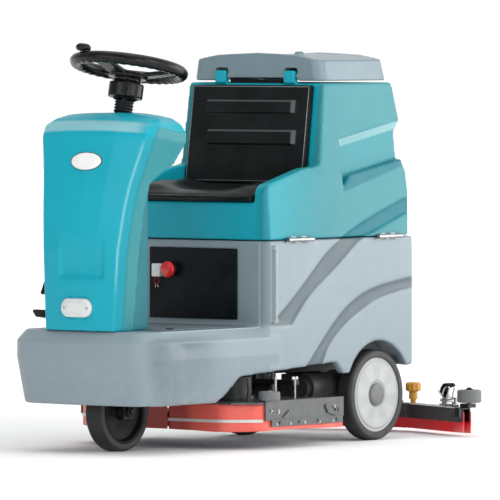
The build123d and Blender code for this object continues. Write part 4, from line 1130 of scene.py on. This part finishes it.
def rear_wheel(label, side):
    """Tyre, disc, hub cap, barrel and half shaft; the profiles are heights outward from the middle."""
    body = f"rear_wheel_{label}"

    def turned(name, outline, material, steps, closed=False):
        return lathe(f"{name}_{label}", [(r, side * h) for r, h in outline], LEFTWARD, (0, *REAR_AXLE), body,
                     material, steps, closed=closed)

    make_tyre(f"tyre_{label}", ((OUT_X - WIDTH / 2) * side, *REAR_AXLE), REAR_R, RIM_DISC_R, WIDTH, body,
              f"rear_tyre_{label}")
    paint(turned("wheel_disc", DISC, "disc", 144), "facet", facet)
    turned("hub_cap", CAP, "hub", 72)
    turned("wheel_barrel", BARREL, "disc", 96, closed=True)
    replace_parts(turned("half_shaft", SPINDLE, "hub", 48), f"rear_wheel_disc_{label}")


for label, side in SIDES:
    rear_wheel(label, side)

# ---- front wheel ----
FRONT_AXLE = (0, -0.582, 0.116)
make_tyre("front_tyre_solid", FRONT_AXLE, 0.116, 0.094, 0.060, "front_wheel", "front_tyre")
DISH = [(0.0101, 0.031), (0.024, 0.031), (0.026, 0.009), (0.060, 0.006), (0.084, 0.010), (0.088, 0.026),
        (0.0935, 0.0265)]
front_rim = lathe("front_rim_dish", rounded([(r, -h) for r, h in DISH] + DISH[::-1], 0.003), LEFTWARD, FRONT_AXLE,
                  "front_wheel", "rim", 96, closed=True)
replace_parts(front_rim, "front_rim")
for label, side in SIDES:
    bolts(f"front_axle_nut_{label}", [(side * 0.0522, *FRONT_AXLE[1:])], (side, 0, 0), 0.011, 0.007,
          "fork", "frame")

# ---- brush deck ----
DECK_X = -0.030          # the deck stands a little to the right
DECK_HALF = 0.336
SKIRT_LOW = 0.053


def skirt_wave(p):
    """The rubber hangs slightly unevenly and flares at its lower edge."""
    q = p.copy()
    low = step(0.075, SKIRT_LOW, p.z)
    push = 0.0016 * math.sin(p.y * 41 + p.x * 23) + 0.0014
    if abs(p.x - DECK_X) > DECK_HALF - 0.011:
        q.x += math.copysign(push * low, p.x - DECK_X)
    elif p.y < -0.33:
        q.y -= push * low
    q.z += 0.0018 * math.sin((p.x + p.y) * 13) * low
    return q


skirt = dense("deck_skirts", "skirt_rubber", "brush_deck", "coral", skirt_wave, 0.003, 3,
              lambda centre, low, high: high.z - low.z > 0.05)
# Painted shade on the middle of the front skirt.
paint(skirt, "inner", lambda p: 0.8 * step(0.15, 0.10, abs(p.x - DECK_X)) * step(-0.33, -0.36, p.y))
flap = soft_box("skirt_centre_flap", (-0.079, -0.3760, 0.056), (0.019, -0.3722, 0.130), 0.0012, "brush_deck",
                "coral")
# Painted shade over the whole centre flap.
paint(flap, "inner", lambda p: 0.8)
# Thin black sheets under the chassis stand in for the shade that fills the gap between the deck and the frame.
for number, (y0, y1) in enumerate(((-0.300, -0.066), (-0.024, 0.210))):
    soft_box(f"shade_sheet_{number}", (-0.112, y0, 0.145), (-0.106, y1, 0.232), 0.001, "root", "seal")
split("deck_skirts", "brush_deck", [("skirt_strip", "pale", lambda centre, low, high: high.z - low.z < 0.03)],
      0.0008)
BRACKET_OUT = DECK_X + DECK_HALF + 0.005


def deck_hardware(label, side):
    """Bolts, rods and ball ends on one side of the deck."""
    def place(out, y, z):
        return Vector((DECK_X + side * (out - DECK_X), y, z))

    bolts(f"bracket_bolts_{label}",
          [place(BRACKET_OUT, y, z) for y, z in ((-0.262, 0.112), (-0.228, 0.108), (0.040, 0.112))],
          (side, 0, 0), 0.0045, 0.004, "brush_deck", "steel")
    bolts(f"strip_bolts_{label}",
          [place(BRACKET_OUT + 0.003, y, 0.072) for y in (-0.240, -0.175, -0.105, -0.035, 0.030)],
          (side, 0, 0), 0.0034, 0.003, "brush_deck", "alloy")
    for name, y, top, radius in (("skirt_rod", -0.178, 0.206, 0.0042), ("ball_rod", -0.085, 0.196, 0.0035)):
        sweep(f"{name}_{label}", [place(0.262, y, z) for z in (0.137, top)], radius, "brush_deck", "steel")
    for number, y in enumerate((-0.093, -0.077)):
        bm = bmesh.new()
        bmesh.ops.create_uvsphere(bm, u_segments=20, v_segments=12, radius=0.0052)
        bmesh.ops.translate(bm, verts=bm.verts, vec=place(0.262, y, 0.198))
        from_bmesh(f"ball_end_{label}_{number}", bm, "brush_deck", "white")
    link = [place(0.250, y, z) for y, z in ((-0.292, 0.137), (-0.286, 0.172), (-0.292, 0.206))]
    sweep(f"deck_link_{label}", link, 0.006, "brush_deck", "motor", sides=8)


for label, side in SIDES:
    deck_hardware(label, side)


def guard_roller(name, at, size, body, node):
    """Rubber bumper roller around a steel sleeve: size is (radius, low, high)."""
    radius, low, high = size
    outline = rounded([(0.0101, low + 0.002), (0.016, low + 0.002), (0.018, low), (radius - 0.003, low),
                       (radius, low + 0.004), (radius, high - 0.004), (radius - 0.003, high), (0.018, high),
                       (0.016, high - 0.002), (0.0101, high - 0.002)], 0.0018)
    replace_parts(lathe(name, outline, UP, (*at, 0), body, "roller", 72, closed=True), node)
    sleeve = [(0.0052, low), (0.010, low), (0.010, high + 0.0005), (0.0052, high + 0.0005)]
    lathe(f"{name}_sleeve", sleeve, UP, (*at, 0), body, "alloy", 32, closed=True)


DECK_ROLLER = (0.0315, 0.141, 0.168)
ROLLER_OUT = DECK_HALF - 0.002
for label, side in SIDES:
    guard_roller(f"deck_roller_tyre_{label}", (DECK_X + side * ROLLER_OUT, -0.262), DECK_ROLLER,
                 f"guard_roller_{label}", f"deck_roller_{label}")

# ---- brushes: hub and bristles ----
BRISTLES = [(0.058, 0.056), (0.105, 0.054), (0.152, 0.056), (0.150, 0.082), (0.060, 0.082)]
BRUSH_OUT = 0.164        # each brush stands this far from the deck's middle


def ruffle(angle, radius, height):
    return 0.0022 * math.sin(angle * 60) * (1 if radius > 0.1 else -1) * step(0.082, 0.058, height)


for label, side in SIDES:
    disc = f"brush_disc_{label}"
    split(f"brush_{label}", disc, [(f"brush_hub_{label}", "motor", lambda centre, low, high: high.z > 0.09)])
    lathe(f"bristles_{label}", BRISTLES, UP, (DECK_X + side * BRUSH_OUT, -0.205, 0), disc, "bristle", 240,
          wave=ruffle, closed=True)


# ---- squeegee ----
def blade_shape(p):
    """The blade trails backward at its lower edge."""
    q = p.copy()
    q.y += 0.004 * step(0.045, 0.012, p.z) * math.sin(p.x * 17)
    return q


def always(centre, low, high):
    return True


blades = dense("squeegee_blades", "squeegee_rubber", "squeegee", "red", blade_shape, 0.0026, 1, always)
paint(blades, "tip", lambda p: 0.75 * step(0.30, 0.36, abs(p.x)) * step(0.045, 0.010, p.z))
split("squeegee_body", "squeegee", [
    ("squeegee_rail", "rail", lambda centre, low, high: high.x - low.x > 0.5),
    ("hose_neck", "motor", lambda centre, low, high: abs(centre.x) < 0.05),
    ("latch_base", "steel", always)], 0.0008)
SQ_END = (0.365, 0.636)
END_ROLLER = (0.036, 0.101, 0.139)
for label, side in SIDES:
    guard_roller(f"end_roller_tyre_{label}", (side * SQ_END[0], SQ_END[1]), END_ROLLER, f"end_roller_{label}",
                 f"squeegee_roller_{label}")
bolts("end_roller_bolts", [(x, SQ_END[1], 0.1397) for x in (-SQ_END[0], SQ_END[0])], UP, 0.008, 0.006,
      "squeegee", "frame")
SQ_SLOPE = math.radians(23)    # each wing of the squeegee sweeps forward by this angle
LATCH_AT = (0.278, 0.655)


def wing_point(side, along, out, z):
    """Point near a latch: along the wing from its pivot towards the end, and out across it to the front."""
    x = LATCH_AT[0] + along * math.cos(SQ_SLOPE) - out * math.sin(SQ_SLOPE)
    y = LATCH_AT[1] - along * math.sin(SQ_SLOPE) - out * math.cos(SQ_SLOPE)
    return Vector((side * x, y, z))


LOOP = [(-0.004, 0.106), (-0.024, 0.122), (-0.012, 0.140), (0.008, 0.146), (0.014, 0.142), (0.008, 0.126),
        (0.002, 0.110)]
GRIP = [(-0.034, 0.126), (-0.028, 0.142), (-0.014, 0.154), (0.003, 0.156), (0.014, 0.150), (0.013, 0.145),
        (0.001, 0.148), (-0.012, 0.143), (-0.024, 0.130)]


def latch_dress(label, side):
    """Clamp loops, grip and rod of a toggle latch, and the rail's bright edge and end bracket beside it."""
    body = f"latch_{label}"

    def line(points, out):
        return [wing_point(side, along, out, z) for along, z in points]

    for number, out in enumerate((-0.009, 0.009)):
        sweep(f"latch_loop_{label}_{number}", catmull(line(LOOP, out), 6), 0.0024, body, "chrome")
    bm = bmesh.new()
    rows = [[bm.verts.new(at) for at in line(GRIP, out)] for out in (-0.014, 0.014)]
    for i in range(len(GRIP)):
        j = (i + 1) % len(GRIP)
        bm.faces.new((rows[0][i], rows[0][j], rows[1][j], rows[1][i]))
    bm.faces.new(rows[0])
    bm.faces.new(list(reversed(rows[1])))
    edge_bevel(from_bmesh(f"latch_grip_{label}", bm, body, "seal"), 0.0012)
    sweep(f"rail_edge_{label}", line(((-0.17, 0.0868), (0.098, 0.0868)), 0.0335), 0.0016, "squeegee",
          "chrome", sides=8)
    sweep(f"latch_rod_{label}", line(((-0.052, 0.0905), (0.050, 0.0905)), 0), 0.0035, "squeegee", "chrome",
          sides=10)
    low = wing_point(side, 0.098, 0.030, 0.058)
    soft_box(f"end_bracket_{label}", low + Vector((-0.008, -0.006, 0)), low + Vector((0.010, 0.006, 0.030)),
             0.002, "squeegee", "rail")


for label, side in SIDES:
    latch_dress(label, side)


def knob_wave(angle, radius, height):
    return -0.0022 * (0.5 + 0.5 * math.cos(angle * 10)) * (radius > 0.018)


KNOB = rounded([(POLE, 0.150), (0.019, 0.1495), (0.0238, 0.146), (0.0238, 0.127), (0.020, 0.124),
                (0.0125, 0.122), (0.0130, 0.100), (0.008, 0.099), (0.008, 0.0868), (POLE, 0.0868)], 0.0015)
for label, side in SIDES:
    piece = lathe(f"squeegee_knob_{label}", KNOB, UP, (side * 0.096, 0.722, 0), "squeegee", "yellow", 120,
                  knob_wave)
    if label == "left":
        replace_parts(piece, "squeegee_knobs")

# ---- small parts on the panel ----
PANEL_Y = -0.229
STOP = (-0.076, PANEL_Y, 0.511)
MUSHROOM = rounded([(POLE, 0.0320), (0.012, 0.0315), (0.0225, 0.0285), (0.0240, 0.0235), (0.0235, 0.0185),
                    (0.0080, 0.0178), (0.0080, -0.020), (POLE, -0.020)], 0.003)
stop = lathe("stop_mushroom", MUSHROOM, FORWARD, STOP, "stop_button", "signal", 72)
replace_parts(stop, "emergency_stop_button")
plate = soft_box("panel_plate", (-0.160, PANEL_Y, 0.370), (0.160, PANEL_Y + 0.006, 0.575), 0.0012, "root",
                 "panel")
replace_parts(plate, "electrical_panel")
COLLAR = [(0.0084, 0.0002), (0.0165, 0.0002), (0.0150, 0.0098), (0.0084, 0.0098)]
lathe("stop_collar", rounded(COLLAR, 0.001), FORWARD, STOP, "root", "frame", 48, closed=True)
bolts("panel_screws", [(x, PANEL_Y + 0.0002, z) for x in (-0.150, 0.150) for z in (0.380, 0.565)], FORWARD,
      0.003, 0.002, "root", "frame")
PLATFORM_CAP = [(POLE, 0.3595), (0.010, 0.359), (0.013, 0.356), (0.0135, 0.350), (POLE, 0.350)]
lathe("platform_cap", rounded(PLATFORM_CAP, 0.001), UP, (0.204, -0.598, 0), "root", "frame", 32)
shell("key_block", "root", "white", 0.0011, 2)

# ---- everything else keeps its CAD mesh, with rounded edges and its own finish ----
PLAIN = {
    ("alloy", 0.0008): ["motor_controller"], ("alloy", 0.0015): ["lift_actuator"],
    ("battery", 0.003): ["batteries"], ("chrome", 0): ["key_ring"],
    ("chrome", 0.0008): ["squeegee_latch_left", "squeegee_latch_right"],
    ("deck", 0.0006): ["deck_plate"], ("deck", 0.0007): ["deck_side_brackets"],
    ("frame", 0.0008): ["column_jacket"], ("frame", 0.001): ["squeegee_lift_arm"],
    ("frame", 0.0012): ["chassis_frame"], ("frame", 0.0015): ["steering_fork"],
    ("hinge", 0.0008): ["lower_hinge_leaves", "upper_hinge_leaves"], ("mat", 0.0006): ["footboard_mat"],
    ("motor", 0.002): ["brush_motors", "vacuum_motor"], ("motor", 0.003): ["transaxle_housing", "drive_motor"],
    ("panel", 0.0012): ["dashboard_panel"], ("pedal", 0.0012): ["brake_pedal"],
    ("pedal", 0.0015): ["accelerator_pedal"],
    ("steel", 0): ["steering_chain", "upper_steering_shaft", "lower_steering_shaft"],
    ("tube", 0.0008): ["sight_tube"], ("white", 0.0008): ["float_valve"],
}
for (material, width), nodes in PLAIN.items():
    for node in nodes:
        piece = NODES[node]
        piece.data.materials.clear()
        piece.data.materials.append(MAT[material])
        piece.modifiers.new("weld", "WELD").merge_threshold = WELD
        if width:
            edge_bevel(piece, width)

# ---- floor ----
FLOOR_HALF = 30
bm = bmesh.new()
bmesh.ops.create_grid(bm, x_segments=2, y_segments=2, size=FLOOR_HALF)
floor = loose("floor", bm)
floor_paint = bpy.data.materials.new("floor_paint")
floor_paint.use_nodes = True
tree = floor_paint.node_tree
shader = tree.nodes["Principled BSDF"]
shader.inputs["Base Color"].default_value = (0.93, 0.93, 0.93, 1)
shader.inputs["Roughness"].default_value = 0.9
shader.inputs["Specular IOR Level"].default_value = 0.1
# the floor brightens away from the machine, so that it runs into the white wall without a line
shader.inputs["Emission Color"].default_value = (1, 1, 1, 1)
away = node_of(tree, "ShaderNodeVectorMath", operation="LENGTH").outputs["Value"]
tree.links.new(node_of(tree, "ShaderNodeTexCoord").outputs["Object"], away.node.inputs[0])
tree.links.new(spread(tree, away, 1.2, 7.0, 0.0, 0.75), shader.inputs["Emission Strength"])
floor.data.materials.append(floor_paint)
